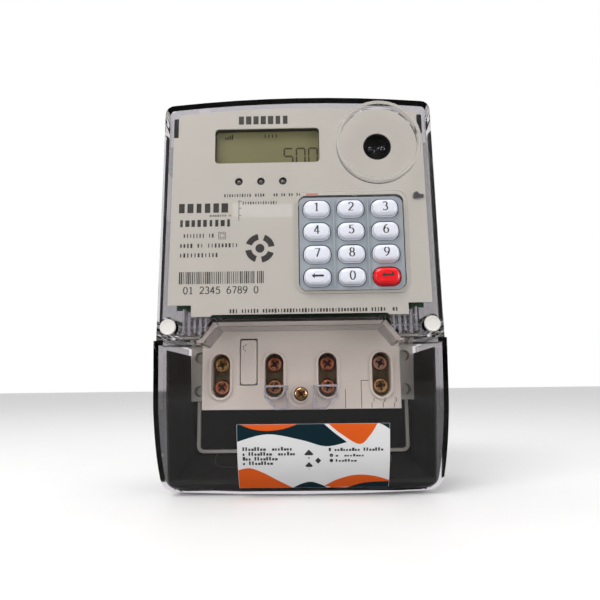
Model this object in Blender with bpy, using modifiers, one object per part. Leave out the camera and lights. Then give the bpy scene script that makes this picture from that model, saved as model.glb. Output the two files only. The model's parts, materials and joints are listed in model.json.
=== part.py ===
"""Prepaid keypad electricity meter, as an assembly of separate pieces.

The wall plane is y = 0 and the front faces -Y. X runs to the right and Z up.
The origin is on the back of the base, on its centre line.
"""

from math import cos, pi, radians, sin

import bmesh
import bpy
from mathutils import Matrix, Vector

MM = 0.001

# ---- clearances -------------------------------------------------------------
GAP = 0.4 * MM                      # between neighbouring pieces
PRESS_GAP = 0.3 * MM                # between pieces that touch on the real meter

# ---- overall sizes ----------------------------------------------------------
HALF_WIDTH = 67.5 * MM              # at the seam between the two covers
TOP_NARROWING = 1.2 * MM            # how much narrower each side is at the top
TOP_Z = 98.2 * MM                   # crown of the arched top
TOP_RISE = 2.9 * MM                 # from the top corners to the crown
TOP_CORNER_RADIUS = 4.5 * MM
BOTTOM_Z = -95.2 * MM
SEAM_Z = -23.4 * MM                 # foot of the main cover's legs
TAB_RISE = 8.2 * MM                 # the terminal cover's tab above the seam
MAIN_FRONT = 69.0 * MM              # depth of the main cover's face from the wall
TERMINAL_FRONT = 73.1 * MM          # depth of the terminal cover's face

# ---- walls ------------------------------------------------------------------
COVER_WALL = 2.2 * MM
TERMINAL_COVER_WALL = 2.0 * MM
BASE_WALL = 2.3 * MM
BASE_PLATE = 3.0 * MM
BASE_INSET = 1.0 * MM               # base rim inside the main cover's outline
TRAY_WALL = 1.0 * MM
TRAY_FRONT_DROP = 14.0 * MM         # tray's edge behind the terminal cover's face

# ---- base -------------------------------------------------------------------
RIM_DEPTH = 21.2 * MM               # front edge of the base's rim
GASKET_THICKNESS = 1.1 * MM
EAR_DEPTH = 9.0 * MM
EAR_LENGTH = 29.8 * MM              # below the seam
EAR_EDGE_INSET = 3.6 * MM           # from the half width
LUG_INSET = 8.8 * MM                # lug hole centre from the half width
LUG_RADIUS = 3.2 * MM
LUG_DROPS = (5.1 * MM, 24.2 * MM)   # below the seam
LUG_MEMBRANE = 1.0 * MM             # left at the back of a lug hole
BOSS_RADIUS = 4.0 * MM
FRAME_BAR = 2.0 * MM                # U-shaped rib round the wiring space
FRAME_DEPTH = 2.6 * MM
FRAME_CORNER = 4.0 * MM

# ---- sealing screws of the main cover ---------------------------------------
SEAL_INSET = 5.25 * MM              # screw axis from the half width
SEAL_RISE = 6.3 * MM                # screw axis above the seam
SEAL_TOWER_RADIUS = 4.9 * MM
SEAL_PLUG_RADIUS = 3.75 * MM
SEAL_PLUG_LENGTH = 4.0 * MM
SEAL_WELL_FLOOR = 30.0 * MM         # depth of the tower's floor from the wall
SCREW_SHANK_RADIUS = 2.0 * MM
SEAL_HEAD_RADIUS = 3.4 * MM
SEAL_HEAD_HEIGHT = 2.4 * MM
SEAL_SCREW_TIP = 8.0 * MM           # depth of the screw's tip from the wall

# ---- terminal block ---------------------------------------------------------
POLE_PITCH = 0.4 * HALF_WIDTH       # so the block fits between the ears
POLES = 4
BLOCK_MARGIN = 9.5 * MM             # block edge from the outer pole
BLOCK_FRONT = 46.0 * MM
BLOCK_BOTTOM = -56.6 * MM
COVER_THREAD_FLOOR = 34.0 * MM      # depth of the cover screw's blind hole
SCREW_PITCH = 11.5 * MM
UPPER_SCREW_Z = -34.0 * MM
SLOT_HALF_WIDTH = 4.7 * MM
SLOT_END = 5.25 * MM                # slot past the outer screw axes
SLOT_RIM = 1.2 * MM
SLOT_RIM_HEIGHT = 1.0 * MM
CAGE_HALF_WIDTH = 5.4 * MM
CAGE_DEPTH = 14.0 * MM
CAGE_FRONT = 34.6 * MM
CAGE_WALL = 1.7 * MM
CAGE_FRONT_WALL = 3.4 * MM
CAGE_END = 6.6 * MM                 # cage past the outer screw axes
CLAMP_HEAD_RADIUS = 3.95 * MM
CLAMP_HEAD_HEIGHT = 2.8 * MM
CLAMP_HEAD_FRONT = 42.4 * MM
CLAMP_SHANK_RADIUS = 2.4 * MM
CLAMP_TIP = 30.3 * MM

# ---- tamper lever -----------------------------------------------------------
LEVER_WIDTH = 8.0 * MM
LEVER_LENGTH = 22.4 * MM
LEVER_TOP_Z = -21.8 * MM
LEVER_FRONT = 46.9 * MM
LEVER_THICKNESS = 2.4 * MM
LEVER_POCKET_FLOOR = 36.0 * MM
SWITCH_SIZE = (5.4 * MM, 5.6 * MM, 10.0 * MM)

# ---- terminal cover ---------------------------------------------------------
COVER_BEND_Z = -50.0 * MM           # where the face starts to curve back
COVER_NOSE_DEPTH = TERMINAL_FRONT - 16.1 * MM   # depth of the lowest edge
COVER_HEEL_Z = -87.0 * MM           # underside at the wall
COVER_BACK = 1.0 * MM               # back edge from the wall
COVER_NARROWING = 2.4 * MM          # each side, from the seam to the foot
COVER_FOOT_RADIUS = 7.0 * MM
COVER_FOOT_RISE = 1.6 * MM
COVER_SIDE_DROP = 3.6 * MM          # side walls' top edge below the seam
WELL_Z = -49.0 * MM
WELL_RADIUS = 6.0 * MM
WELL_BORE = 4.45 * MM
WELL_FLOOR_THICKNESS = 3.0 * MM
WING_HALF_WIDTH = 18.0 * MM
WING_ABOVE = 4.1 * MM
WING_BELOW = 7.4 * MM
WING_CHAMFER = 6.0 * MM
WING_THICKNESS = 4.6 * MM
WING_CLEARANCE = 1.2 * MM           # wings in front of the slot rims
COVER_HEAD_RADIUS = 3.45 * MM
COVER_HEAD_HEIGHT = 2.6 * MM
COVER_SHANK_LENGTH = 13.5 * MM
LABEL_LEFT = -28.8 * MM
LABEL_RIGHT = 40.0 * MM
LABEL_TOP_Z = -62.0 * MM
LABEL_THICKNESS = 0.25 * MM
LABEL_NOSE_CLEARANCE = 1.6 * MM     # label's foot in front of the lowest edge

# ---- nameplate and what shows through it ------------------------------------
PLATE_CLEARANCE = 1.2 * MM          # behind the main cover's inner face
PLATE_FRONT = MAIN_FRONT - COVER_WALL - PLATE_CLEARANCE
PLATE_THICKNESS = 0.8 * MM
PLATE_INSET = 4.0 * MM              # plate edge from the main cover's outline
PLATE_BOTTOM_Z = -12.1 * MM
PLATE_TOP_NOTCH = (3.4 * MM, 12.0 * MM)
PLATE_BOTTOM_NOTCH = (11.5 * MM, 5.6 * MM)
LCD_CENTRE = (-15.3 * MM, TOP_Z - 23.9 * MM)
LCD_HALF = (26.2 * MM, 9.1 * MM)
LCD_RECESS = 2.6 * MM               # glass behind the plate
LCD_GLASS = 2.4 * MM
LCD_BORDER = 2.2 * MM
LAMP_XS = (-29.4 * MM, -18.4 * MM, -7.5 * MM)
LAMP_Z = TOP_Z - 42.7 * MM
LAMP_RADIUS = 1.75 * MM
OPTIC_EDGE = 27.7 * MM              # optical port axis from the half width
OPTIC_Z = TOP_Z - 25.6 * MM
OPTIC_RADIUS = 7.0 * MM
RING_OUTER = 20.7 * MM
RING_INNER = 19.1 * MM
RING_HEIGHT = 4.6 * MM
DIODE_RADIUS = 2.4 * MM
DIODE_SPACING = 6.4 * MM

# ---- keypad -----------------------------------------------------------------
KEY_HALF = (6.5 * MM, 4.45 * MM)
KEYPAD_EDGE = 42.0 * MM             # keypad centre from the half width
KEYPAD_Z = 0.2332 * TOP_Z
KEY_PITCH_X = 2 * KEY_HALF[0] + 3.57 * MM
KEY_PITCH_Z = 2 * KEY_HALF[1] + 2.4 * MM
KEY_RADIUS = KEY_HALF[1] - 0.55 * MM
KEY_FRONT = MAIN_FRONT + 1.6 * MM
KEY_HEIGHT = 5.3 * MM
KEY_TRAVEL = 1.2 * MM
MAT_HALF = (KEY_PITCH_X + KEY_HALF[0] + 2.03 * MM, 1.5 * KEY_PITCH_Z + KEY_HALF[1] + 1.5 * MM)
MAT_RADIUS = 3.4 * MM
MAT_FRONT = MAIN_FRONT - 1.2 * MM
MAT_THICKNESS = 3.6 * MM
WINDOW_RIM = 1.9 * MM
WINDOW_RIM_HEIGHT = 1.2 * MM

# ---- electronics ------------------------------------------------------------
BOARD = 1.6 * MM
BOARD_SIDE_CLEARANCE = 7.0 * MM     # board edge from the half width
BOARD_BOTTOM_Z = -8.0 * MM
BOARD_TOP_DROP = 12.0 * MM          # below the crown
MAIN_BOARD_DEPTH = 20.0 * MM
DISPLAY_BOARD_DEPTH = PLATE_FRONT - 8.0 * MM
RELAY = (30 * MM, 10 * MM, (40 * MM, 29 * MM, 17 * MM))     # x, z, then width, height, depth
SHUNT = (-7 * MM, 4 * MM, (26 * MM, 12 * MM, 2.2 * MM))
TRANSFORMER = (-36 * MM, 19 * MM, (30 * MM, 26 * MM, 22 * MM))
CAPACITOR = (-4 * MM, 34 * MM, 6.5 * MM, 20 * MM)           # x, z, radius, depth
BATTERY = (44 * MM, 44 * MM, 7.2 * MM, 25 * MM)
BUZZER = (14 * MM, 54 * MM, 6.0 * MM, 8.5 * MM)
CONNECTOR_EDGE = 15.5 * MM          # from the half width
CONNECTOR_DROP = 36.2 * MM          # below the crown
CONNECTOR_SECTION = (5 * MM, 26 * MM)
HANGER_HALF_WIDTH = 7.0 * MM
HANGER_LENGTH = 30.0 * MM
HANGER_THICKNESS = 1.6 * MM
HANGER_TOP_DROP = 1.5 * MM          # below the base's top at the middle
HANGER_EYE = 3.0 * MM

PARTS = "prepaid_meter"
CUTTERS = "prepaid_meter_cutters"

PLANES = {
    "XZ": Matrix.Rotation(pi / 2, 4, "X"),
    "YZ": Matrix.Rotation(pi / 2, 4, "Z") @ Matrix.Rotation(pi / 2, 4, "X"),
    "XY": Matrix.Identity(4),
}
THICKNESS_AXIS = {"XZ": Vector((0, 1, 0)), "YZ": Vector((1, 0, 0)), "XY": Vector((0, 0, 1))}


# ---- scene helpers ----------------------------------------------------------
def clear_scene():
    for old in list(bpy.data.objects):
        bpy.data.objects.remove(old, do_unlink=True)


def collection(name):
    found = bpy.data.collections.get(name)
    if found is None:
        found = bpy.data.collections.new(name)
        bpy.context.scene.collection.children.link(found)
    return found


def material(name, colour, roughness, metallic=0.0, alpha=1.0):
    made = bpy.data.materials.new(name)
    made.use_nodes = True
    shader = made.node_tree.nodes["Principled BSDF"]
    shader.inputs["Base Color"].default_value = (*colour, 1.0)
    shader.inputs["Roughness"].default_value = roughness
    shader.inputs["Metallic"].default_value = metallic
    shader.inputs["Alpha"].default_value = alpha
    return made


def as_part(piece, finish, pivot=None):
    """Give a solid its material, and its origin on the pivot."""
    piece.data.materials.clear()
    piece.data.materials.append(finish)
    if pivot is not None:
        piece.data.transform(Matrix.Translation(-Vector(pivot)))
        piece.location = pivot
    return piece


def from_bmesh(name, bm, place=None):
    mesh = bpy.data.meshes.new(name)
    bmesh.ops.remove_doubles(bm, verts=bm.verts, dist=1e-7)
    bmesh.ops.recalc_face_normals(bm, faces=bm.faces)
    bm.to_mesh(mesh)
    bm.free()
    if place is not None:
        mesh.transform(place)
    piece = bpy.data.objects.new(name, mesh)
    collection(PARTS).objects.link(piece)
    return piece


def box(name, low, high):
    bm = bmesh.new()
    bmesh.ops.create_cube(bm, size=1.0)
    size = [b - a for a, b in zip(low, high)]
    middle = [(a + b) / 2 for a, b in zip(low, high)]
    place = Matrix.Translation(middle) @ Matrix.Diagonal((*size, 1.0))
    return from_bmesh(name, bm, place)


def prism(name, outlines, start, end, plane="XZ"):
    """Extrude closed outlines, the border first and then its holes, between two places."""
    curve = bpy.data.curves.new(name, "CURVE")
    curve.dimensions = "2D"
    curve.fill_mode = "BOTH"
    curve.extrude = abs(end - start) / 2
    for points in outlines:
        spline = curve.splines.new("POLY")
        spline.points.add(len(points) - 1)
        for knot, (across, up) in zip(spline.points, points):
            knot.co = (across, up, 0, 1)
        spline.use_cyclic_u = True
    outline = bpy.data.objects.new(name + "_outline", curve)
    collection(CUTTERS).objects.link(outline)
    evaluated = outline.evaluated_get(bpy.context.evaluated_depsgraph_get())
    flat = bpy.data.meshes.new_from_object(evaluated)
    bpy.data.objects.remove(outline, do_unlink=True)
    place = Matrix.Translation(THICKNESS_AXIS[plane] * (start + end) / 2) @ PLANES[plane]
    bm = bmesh.new()
    bm.from_mesh(flat)
    return from_bmesh(name, bm, place)


def turned(name, profile, axis_xz, steps=24):
    """Turn a profile of (radius, depth from the wall), front to back, about an axis along Y."""
    mesh = bpy.data.meshes.new(name)
    points = [(radius, 0, depth) for radius, depth in profile]
    mesh.from_pydata(points, [(k, k + 1) for k in range(len(points) - 1)], [])
    mesh.update()
    piece = bpy.data.objects.new(name, mesh)
    collection(PARTS).objects.link(piece)
    spin = piece.modifiers.new("turn", "SCREW")
    spin.axis = "Z"
    spin.steps = steps
    spin.render_steps = steps
    spin.use_merge_vertices = True
    spin.merge_threshold = 0.00001
    evaluated = piece.evaluated_get(bpy.context.evaluated_depsgraph_get())
    solid = bpy.data.meshes.new_from_object(evaluated)
    bpy.data.objects.remove(piece, do_unlink=True)
    bm = bmesh.new()
    bm.from_mesh(solid)
    place = Matrix.Translation((axis_xz[0], 0, axis_xz[1])) @ PLANES["XZ"]
    return from_bmesh(name, bm, place)


def rod(name, axis_xz, radius, front, back, steps=24):
    return turned(name, [(0, front), (radius, front), (radius, back), (0, back)], axis_xz, steps)


def boolean(target, tool, operation):
    tool.hide_render = True
    tool.display_type = "WIRE"
    collection(PARTS).objects.unlink(tool)
    collection(CUTTERS).objects.link(tool)
    step = target.modifiers.new(tool.name, "BOOLEAN")
    step.operation = operation
    step.object = tool


def cut(target, tool):
    boolean(target, tool, "DIFFERENCE")


def join(target, tool):
    boolean(target, tool, "UNION")


def common(target, tool):
    boolean(target, tool, "INTERSECT")


# ---- outlines ---------------------------------------------------------------
def arc(centre, radius, start, end, steps):
    """Points on an arc, angles in degrees anticlockwise from the first axis."""
    angles = [radians(start + (end - start) * k / steps) for k in range(steps + 1)]
    return [(centre[0] + radius * cos(a), centre[1] + radius * sin(a)) for a in angles]


def rounded(centre, half, radius, steps=5):
    """A rectangle with round corners, anticlockwise from its lower left."""
    points = []
    for sign_x, sign_z, start in ((-1, -1, 180), (1, -1, 270), (1, 1, 0), (-1, 1, 90)):
        corner = (centre[0] + sign_x * (half[0] - radius), centre[1] + sign_z * (half[1] - radius))
        points += arc(corner, radius, start, start + 90, steps)
    return points


def circle(centre, radius, steps=24):
    return arc(centre, radius, 0, 360 - 360 / steps, steps - 1)


def rectangle(left, bottom, right, top):
    return [(left, bottom), (right, bottom), (right, top), (left, top)]


def bezier(start, pull, end, steps):
    """Points on a quadratic curve."""
    points = []
    for k in range(steps + 1):
        t = k / steps
        weights = ((1 - t) ** 2, 2 * t * (1 - t), t ** 2)
        points.append(tuple(sum(w * p[i] for w, p in zip(weights, (start, pull, end))) for i in (0, 1)))
    return points


def inset(points, amount):
    """Move every side of an anticlockwise outline inwards by the same amount."""
    moved = []
    for k, here in enumerate(points):
        before = Vector(points[k - 1])
        corner = Vector(here)
        after = Vector(points[(k + 1) % len(points)])
        along_in = (corner - before).normalized()
        along_out = (after - corner).normalized()
        side_in = Vector((-along_in.y, along_in.x))
        side_out = Vector((-along_out.y, along_out.x))
        mitre = (side_in + side_out).normalized()
        moved.append(tuple(corner + mitre * (amount / mitre.dot(side_in))))
    return moved


def seam_corners():
    """The seam on the right, from the tab's top corner to its foot."""
    top = block_half_width() - 10.0 * MM
    foot = top + 6.5 * MM
    return top, foot


def block_half_width():
    return POLE_PITCH * (POLES - 1) / 2 + BLOCK_MARGIN


def upper_outline():
    """The main cover's border in X and Z, with the notch for the terminal cover's tab."""
    tab_top, tab_foot = seam_corners()
    top_half = HALF_WIDTH - TOP_NARROWING
    radius = TOP_CORNER_RADIUS
    corner = (top_half - radius, TOP_Z - TOP_RISE - radius)
    crown_half = corner[0]
    crown = []
    crown_steps = 8
    for k in range(1, crown_steps):
        share = 1 - 2 * k / crown_steps
        crown.append((crown_half * share, TOP_Z - TOP_RISE * share ** 2))
    left = [(-x, z) for x, z in reversed(arc(corner, radius, 0, 90, 4))]
    return (
        [(-HALF_WIDTH, SEAM_Z), (-tab_foot, SEAM_Z), (-tab_top, SEAM_Z + TAB_RISE)]
        + [(tab_top, SEAM_Z + TAB_RISE), (tab_foot, SEAM_Z), (HALF_WIDTH, SEAM_Z)]
        + arc(corner, radius, 0, 90, 4)
        + crown
        + left
    )


def lower_outline():
    """The terminal cover's border in X and Z."""
    tab_top, tab_foot = seam_corners()
    foot_half = HALF_WIDTH - COVER_NARROWING
    corner = (foot_half - COVER_FOOT_RADIUS, BOTTOM_Z + COVER_FOOT_RISE + COVER_FOOT_RADIUS)
    seam = SEAM_Z - GAP
    middle_z = (seam + corner[1]) / 2
    middle_half = HALF_WIDTH - COVER_NARROWING / 3
    right = arc(corner, COVER_FOOT_RADIUS, 270, 360, 5)
    left = [(-x, z) for x, z in reversed(right)]
    right_side = [(middle_half, middle_z), (HALF_WIDTH, seam), (tab_foot + GAP / 2, seam)]
    right_side.append((tab_top, seam + TAB_RISE))
    left_side = [(-x, z) for x, z in reversed(right_side)]
    keel = [(0.5 * corner[0] * side, BOTTOM_Z + COVER_FOOT_RISE / 4) for side in (-1, 0, 1)]
    keel[1] = (0.0, BOTTOM_Z)
    return left + keel + right + right_side + left_side


def face_curve():
    """The terminal cover's face in Y and Z, from the bend down to the nose."""
    bend = (-TERMINAL_FRONT, COVER_BEND_Z)
    pull = (-TERMINAL_FRONT + 0.6 * MM, BOTTOM_Z + 15.2 * MM)
    return bezier(bend, pull, (-COVER_NOSE_DEPTH, BOTTOM_Z), 8)


def side_outline():
    """The terminal cover's side view in Y and Z, anticlockwise, open-ended past the wall and tab."""
    high = SEAM_Z + TAB_RISE + 10 * MM
    heel = (10 * MM, COVER_HEEL_Z + (COVER_HEEL_Z - BOTTOM_Z) * 10 * MM / COVER_NOSE_DEPTH)
    return [(-TERMINAL_FRONT, high)] + face_curve() + [heel, (10 * MM, high)]


def pole_xs():
    first = -POLE_PITCH * (POLES - 1) / 2
    return [first + POLE_PITCH * k for k in range(POLES)]


def slot_centre_z():
    return UPPER_SCREW_Z - SCREW_PITCH / 2


def slot_outline(x, grow=0.0):
    half = (SLOT_HALF_WIDTH + grow, SCREW_PITCH / 2 + SLOT_END + grow)
    return rounded((x, slot_centre_z()), half, half[0], 7)


def seal_axes():
    x = HALF_WIDTH - SEAL_INSET
    z = SEAM_Z + SEAL_RISE
    return {"left": (-x, z), "right": (x, z)}


def optic_axis():
    return (HALF_WIDTH - OPTIC_EDGE, OPTIC_Z)


def keypad_centre():
    return (HALF_WIDTH - KEYPAD_EDGE, KEYPAD_Z)


# ---- case -------------------------------------------------------------------
def base_case(finish):
    """Back plate, rim of the upper part, ears with lug holes and the two screw bosses."""
    outer = inset(upper_outline(), BASE_INSET)
    foot_shape = [outer[4], outer[3], outer[2], outer[1]]
    leg_z = outer[0][1]
    ear_foot = SEAM_Z - EAR_LENGTH
    whole = [(outer[0][0], ear_foot), (outer[5][0], ear_foot)] + outer[5:] + [outer[0]]
    base = prism("base_case", [whole], -RIM_DEPTH, 0)
    inner = inset(outer, BASE_WALL)
    past = RIM_DEPTH + 5 * MM
    far = HALF_WIDTH + 5 * MM
    low = ear_foot - 5 * MM
    cut(base, prism("cut_base_inside", [inner], -past, -BASE_PLATE))
    below = [(-far, low), (far, low), (far, leg_z)] + foot_shape + [(-far, leg_z)]
    cut(base, prism("cut_below_rim", [below], -past, -EAR_DEPTH))
    near = block_half_width() + GAP + 0.2 * MM
    ledge = PRESS_GAP
    behind = [(-near, low), (near, low), (near, leg_z - ledge)]
    behind += [(x, z - ledge) for x, z in foot_shape] + [(-near, leg_z - ledge)]
    cut(base, prism("cut_behind_block", [behind], -past, -BASE_PLATE))
    for side, sign in (("left", -1), ("right", 1)):
        edges = sorted((sign * (HALF_WIDTH - EAR_EDGE_INSET), sign * far))
        cut(base, box("cut_beside_ear_" + side, (edges[0], -past, low), (edges[1], 5 * MM, leg_z - ledge)))
        for k, drop in enumerate(LUG_DROPS):
            lug = (sign * (HALF_WIDTH - LUG_INSET), SEAM_Z - drop)
            name = "cut_lug_%s_%d" % (side, k + 1)
            cut(base, rod(name, lug, LUG_RADIUS, EAR_DEPTH + 2 * MM, LUG_MEMBRANE, 20))
        axis = seal_axes()[side]
        boss = rod("join_boss_" + side, axis, BOSS_RADIUS, RIM_DEPTH - 0.2 * MM, BASE_PLATE / 2, 16)
        join(base, boss)
        bore = SCREW_SHANK_RADIUS + PRESS_GAP
        cut(base, rod("cut_pilot_" + side, axis, bore, RIM_DEPTH + 2 * MM, BASE_PLATE, 12))
    half = HANGER_HALF_WIDTH + PRESS_GAP
    slot_depth = HANGER_THICKNESS + 2 * PRESS_GAP + 0.1 * MM
    slot_foot = hanger_span()[0] - PRESS_GAP
    cut(base, box("cut_hanger_slot", (-half, -slot_depth, slot_foot), (half, 2 * MM, TOP_Z + 5 * MM)))
    return as_part(base, finish)


def hanger_span():
    high = TOP_Z - BASE_INSET - HANGER_TOP_DROP
    return high - HANGER_LENGTH, high


def hanger(finish):
    """Flat sliding hanger with an eye near its top."""
    low, high = hanger_span()
    middle = (0, (low + high) / 2)
    half = (HANGER_HALF_WIDTH, HANGER_LENGTH / 2)
    eye = circle((0, high - 7 * MM), HANGER_EYE, 20)
    border = rounded(middle, half, 2.5 * MM, 3)
    back = -PRESS_GAP
    piece = prism("hanger", [border, eye], back - HANGER_THICKNESS, back)
    return as_part(piece, finish, pivot=(0, back, low))


def wiring_frame(finish):
    """Light U-shaped rib round the wiring space, under the ears."""
    foot_half = HALF_WIDTH - COVER_NARROWING - TERMINAL_COVER_WALL - TRAY_WALL - 4 * PRESS_GAP
    top = SEAM_Z - EAR_LENGTH - PRESS_GAP
    foot = COVER_HEEL_Z + TERMINAL_COVER_WALL + TRAY_WALL + 3 * GAP
    corner = (-foot_half + FRAME_CORNER, foot + FRAME_CORNER)
    outer = [(-foot_half, top)] + arc(corner, FRAME_CORNER, 180, 270, 4)
    outer += [(-x, z) for x, z in reversed(outer)]
    bar = FRAME_BAR
    inner_corner = FRAME_CORNER - bar
    inner = [(-foot_half + bar, top)]
    inner += arc(corner, inner_corner, 180, 270, 4)
    inner += [(-x, z) for x, z in reversed(inner)]
    back = -(2 * PRESS_GAP + TRAY_WALL)
    frame = prism("wiring_frame", [outer + list(reversed(inner))], back - FRAME_DEPTH, back)
    return as_part(frame, finish)


def cable_tray(finish):
    """Black insulating tray that lines the wiring space, with a scored way out for the cables."""
    skin = TERMINAL_COVER_WALL + GAP
    border = inset(lower_outline(), skin)
    side = inset(side_outline(), skin)
    tray = prism("cable_tray", [border], -TERMINAL_FRONT, -PRESS_GAP)
    common(tray, prism("keep_tray_side", [side], -HALF_WIDTH, HALF_WIDTH, "YZ"))
    past_front = -TERMINAL_FRONT - 5 * MM
    hollow = prism("cut_tray_inside", [inset(border, TRAY_WALL)], past_front, -PRESS_GAP - TRAY_WALL)
    inside = inset(side, TRAY_WALL)
    common(hollow, prism("keep_tray_hollow", [inside], -HALF_WIDTH, HALF_WIDTH, "YZ"))
    cut(tray, hollow)
    front = -(TERMINAL_FRONT - TRAY_FRONT_DROP)
    wide = HALF_WIDTH + 5 * MM
    cut(tray, box("cut_tray_front", (-wide, -0.1, BOTTOM_Z - 5 * MM), (wide, front, 0)))
    cut(tray, box("cut_tray_top", (-wide, -0.1, SEAM_Z - 4 * MM), (wide, 0.01, 0.01)))
    ear_foot = SEAM_Z - EAR_LENGTH - PRESS_GAP
    cut(tray, box("cut_tray_ears", (-wide, -EAR_DEPTH - PRESS_GAP, ear_foot), (wide, 0.01, 0.01)))
    return as_part(tray, finish)


def upper_cover(finish):
    """Clear main cover with a keypad window, an optical-head ring and two screw towers."""
    back = -(RIM_DEPTH + 2 * PRESS_GAP + GASKET_THICKNESS)
    outline = upper_outline()
    cover = prism("upper_cover", [outline], -MAIN_FRONT, back)
    inner = inset(outline, COVER_WALL)
    cut(cover, prism("cut_cover_inside", [inner], -(MAIN_FRONT - COVER_WALL), back + 5 * MM))
    for side, axis in seal_axes().items():
        tower = rod("join_tower_" + side, axis, SEAL_TOWER_RADIUS, MAIN_FRONT - 0.2 * MM, -back, 24)
        join(cover, tower)
    hole = [h + GAP for h in MAT_HALF]
    rim = [h + WINDOW_RIM for h in hole]
    border = rounded(keypad_centre(), rim, MAT_RADIUS + WINDOW_RIM, 5)
    rim_front = -(MAIN_FRONT + WINDOW_RIM_HEIGHT)
    join(cover, prism("join_window_rim", [border], rim_front, -(MAIN_FRONT - COVER_WALL / 2)))
    front, seat = MAIN_FRONT + RING_HEIGHT, MAIN_FRONT - COVER_WALL / 2
    ring_profile = [(RING_INNER, front), (RING_OUTER, front), (RING_OUTER, seat), (RING_INNER, seat)]
    ring_profile.append(ring_profile[0])
    join(cover, turned("join_optic_ring", ring_profile, optic_axis(), 48))
    window = rounded(keypad_centre(), hole, MAT_RADIUS + GAP, 5)
    cut(cover, prism("cut_keypad_window", [window], rim_front - 2 * MM, -(PLATE_FRONT - 1 * MM)))
    for side, axis in seal_axes().items():
        bore = SEAL_PLUG_RADIUS + 0.2 * MM
        way = SCREW_SHANK_RADIUS + PRESS_GAP
        cut(cover, rod("cut_well_" + side, axis, bore, MAIN_FRONT + 2 * MM, SEAL_WELL_FLOOR, 24))
        cut(cover, rod("cut_way_" + side, axis, way, SEAL_WELL_FLOOR + 1 * MM, 10 * MM, 16))
    return as_part(cover, finish)


def cover_gasket(finish):
    """Thin rubber ring between the base's rim and the main cover."""
    outer = inset(upper_outline(), BASE_INSET + 0.2 * MM)
    inner = inset(outer, 1.6 * MM)
    back = -(RIM_DEPTH + PRESS_GAP)
    return as_part(prism("cover_gasket", [outer, inner], back - GASKET_THICKNESS, back), finish)


def screw(name, axis, head_front, head, shank_radius, tip):
    """A pan-head screw, its head given as radius and height and towards the front."""
    head_radius, head_height = head
    under = head_front - head_height
    shoulder = head_front - head_height * 0.4
    profile = [(0, head_front), (head_radius * 0.72, head_front), (head_radius, shoulder)]
    profile += [(head_radius, under), (shank_radius, under), (shank_radius, tip + shank_radius / 2)]
    profile += [(shank_radius / 2, tip), (0, tip)]
    return turned(name, profile, axis, 16)


def cover_screws(finish):
    for side, axis in seal_axes().items():
        head = (SEAL_HEAD_RADIUS, SEAL_HEAD_HEIGHT)
        head_front = SEAL_WELL_FLOOR + PRESS_GAP + SEAL_HEAD_HEIGHT
        made = screw("cover_screw_" + side, axis, head_front, head, SCREW_SHANK_RADIUS, SEAL_SCREW_TIP)
        as_part(made, finish)


def seal_plugs(finish):
    for side, axis in seal_axes().items():
        front = MAIN_FRONT + 0.2 * MM
        edge = 0.5 * MM
        radius = SEAL_PLUG_RADIUS
        profile = [(0, front), (radius - edge, front), (radius, front - edge)]
        profile += [(radius, front - SEAL_PLUG_LENGTH), (0, front - SEAL_PLUG_LENGTH)]
        as_part(turned("seal_plug_" + side, profile, axis, 24), finish)


# ---- terminal cover ---------------------------------------------------------
def terminal_cover(finish):
    """Clear lower cover: curved face, tab at the top, open back, screw well with two wings."""
    outline = lower_outline()
    side = side_outline()
    cover = prism("terminal_cover", [outline], -TERMINAL_FRONT - 1 * MM, -COVER_BACK)
    common(cover, prism("keep_cover_side", [side], -HALF_WIDTH - 1 * MM, HALF_WIDTH + 1 * MM, "YZ"))
    within = inset(outline, TERMINAL_COVER_WALL)
    hollow = prism("cut_terminal_inside", [within], -TERMINAL_FRONT - 1 * MM, 5 * MM)
    inside = inset(side, TERMINAL_COVER_WALL)
    common(hollow, prism("keep_terminal_inside", [inside], -HALF_WIDTH - 1 * MM, HALF_WIDTH + 1 * MM, "YZ"))
    cut(cover, hollow)
    wide = HALF_WIDTH + 5 * MM
    high = SEAM_Z + TAB_RISE + 5 * MM
    low = SEAM_Z - COVER_SIDE_DROP
    block_clear = block_half_width() + GAP
    block_front = BLOCK_FRONT + SLOT_RIM_HEIGHT + 0.8 * MM
    cut(cover, box("cut_over_block", (-block_clear, -block_front, low), (block_clear, 5 * MM, high)))
    cut(cover, box("cut_over_ears", (-wide, -EAR_DEPTH - GAP, low), (wide, 5 * MM, high)))
    tray_clear = TERMINAL_FRONT - TRAY_FRONT_DROP + GAP
    for side, sign in (("left", -1), ("right", 1)):
        xs = sorted((sign * (block_clear - 1 * MM), sign * (HALF_WIDTH - TERMINAL_COVER_WALL)))
        cut(cover, box("cut_over_tray_" + side, (xs[0], -tray_clear, low), (xs[1], 5 * MM, high)))
    add_screw_well(cover)
    return as_part(cover, finish, pivot=(0, -TERMINAL_FRONT, WELL_Z))


def wing_depths():
    """Back and front depth of the wings at the foot of the screw well."""
    back = BLOCK_FRONT + SLOT_RIM_HEIGHT + WING_CLEARANCE
    return back, back + WING_THICKNESS


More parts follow.
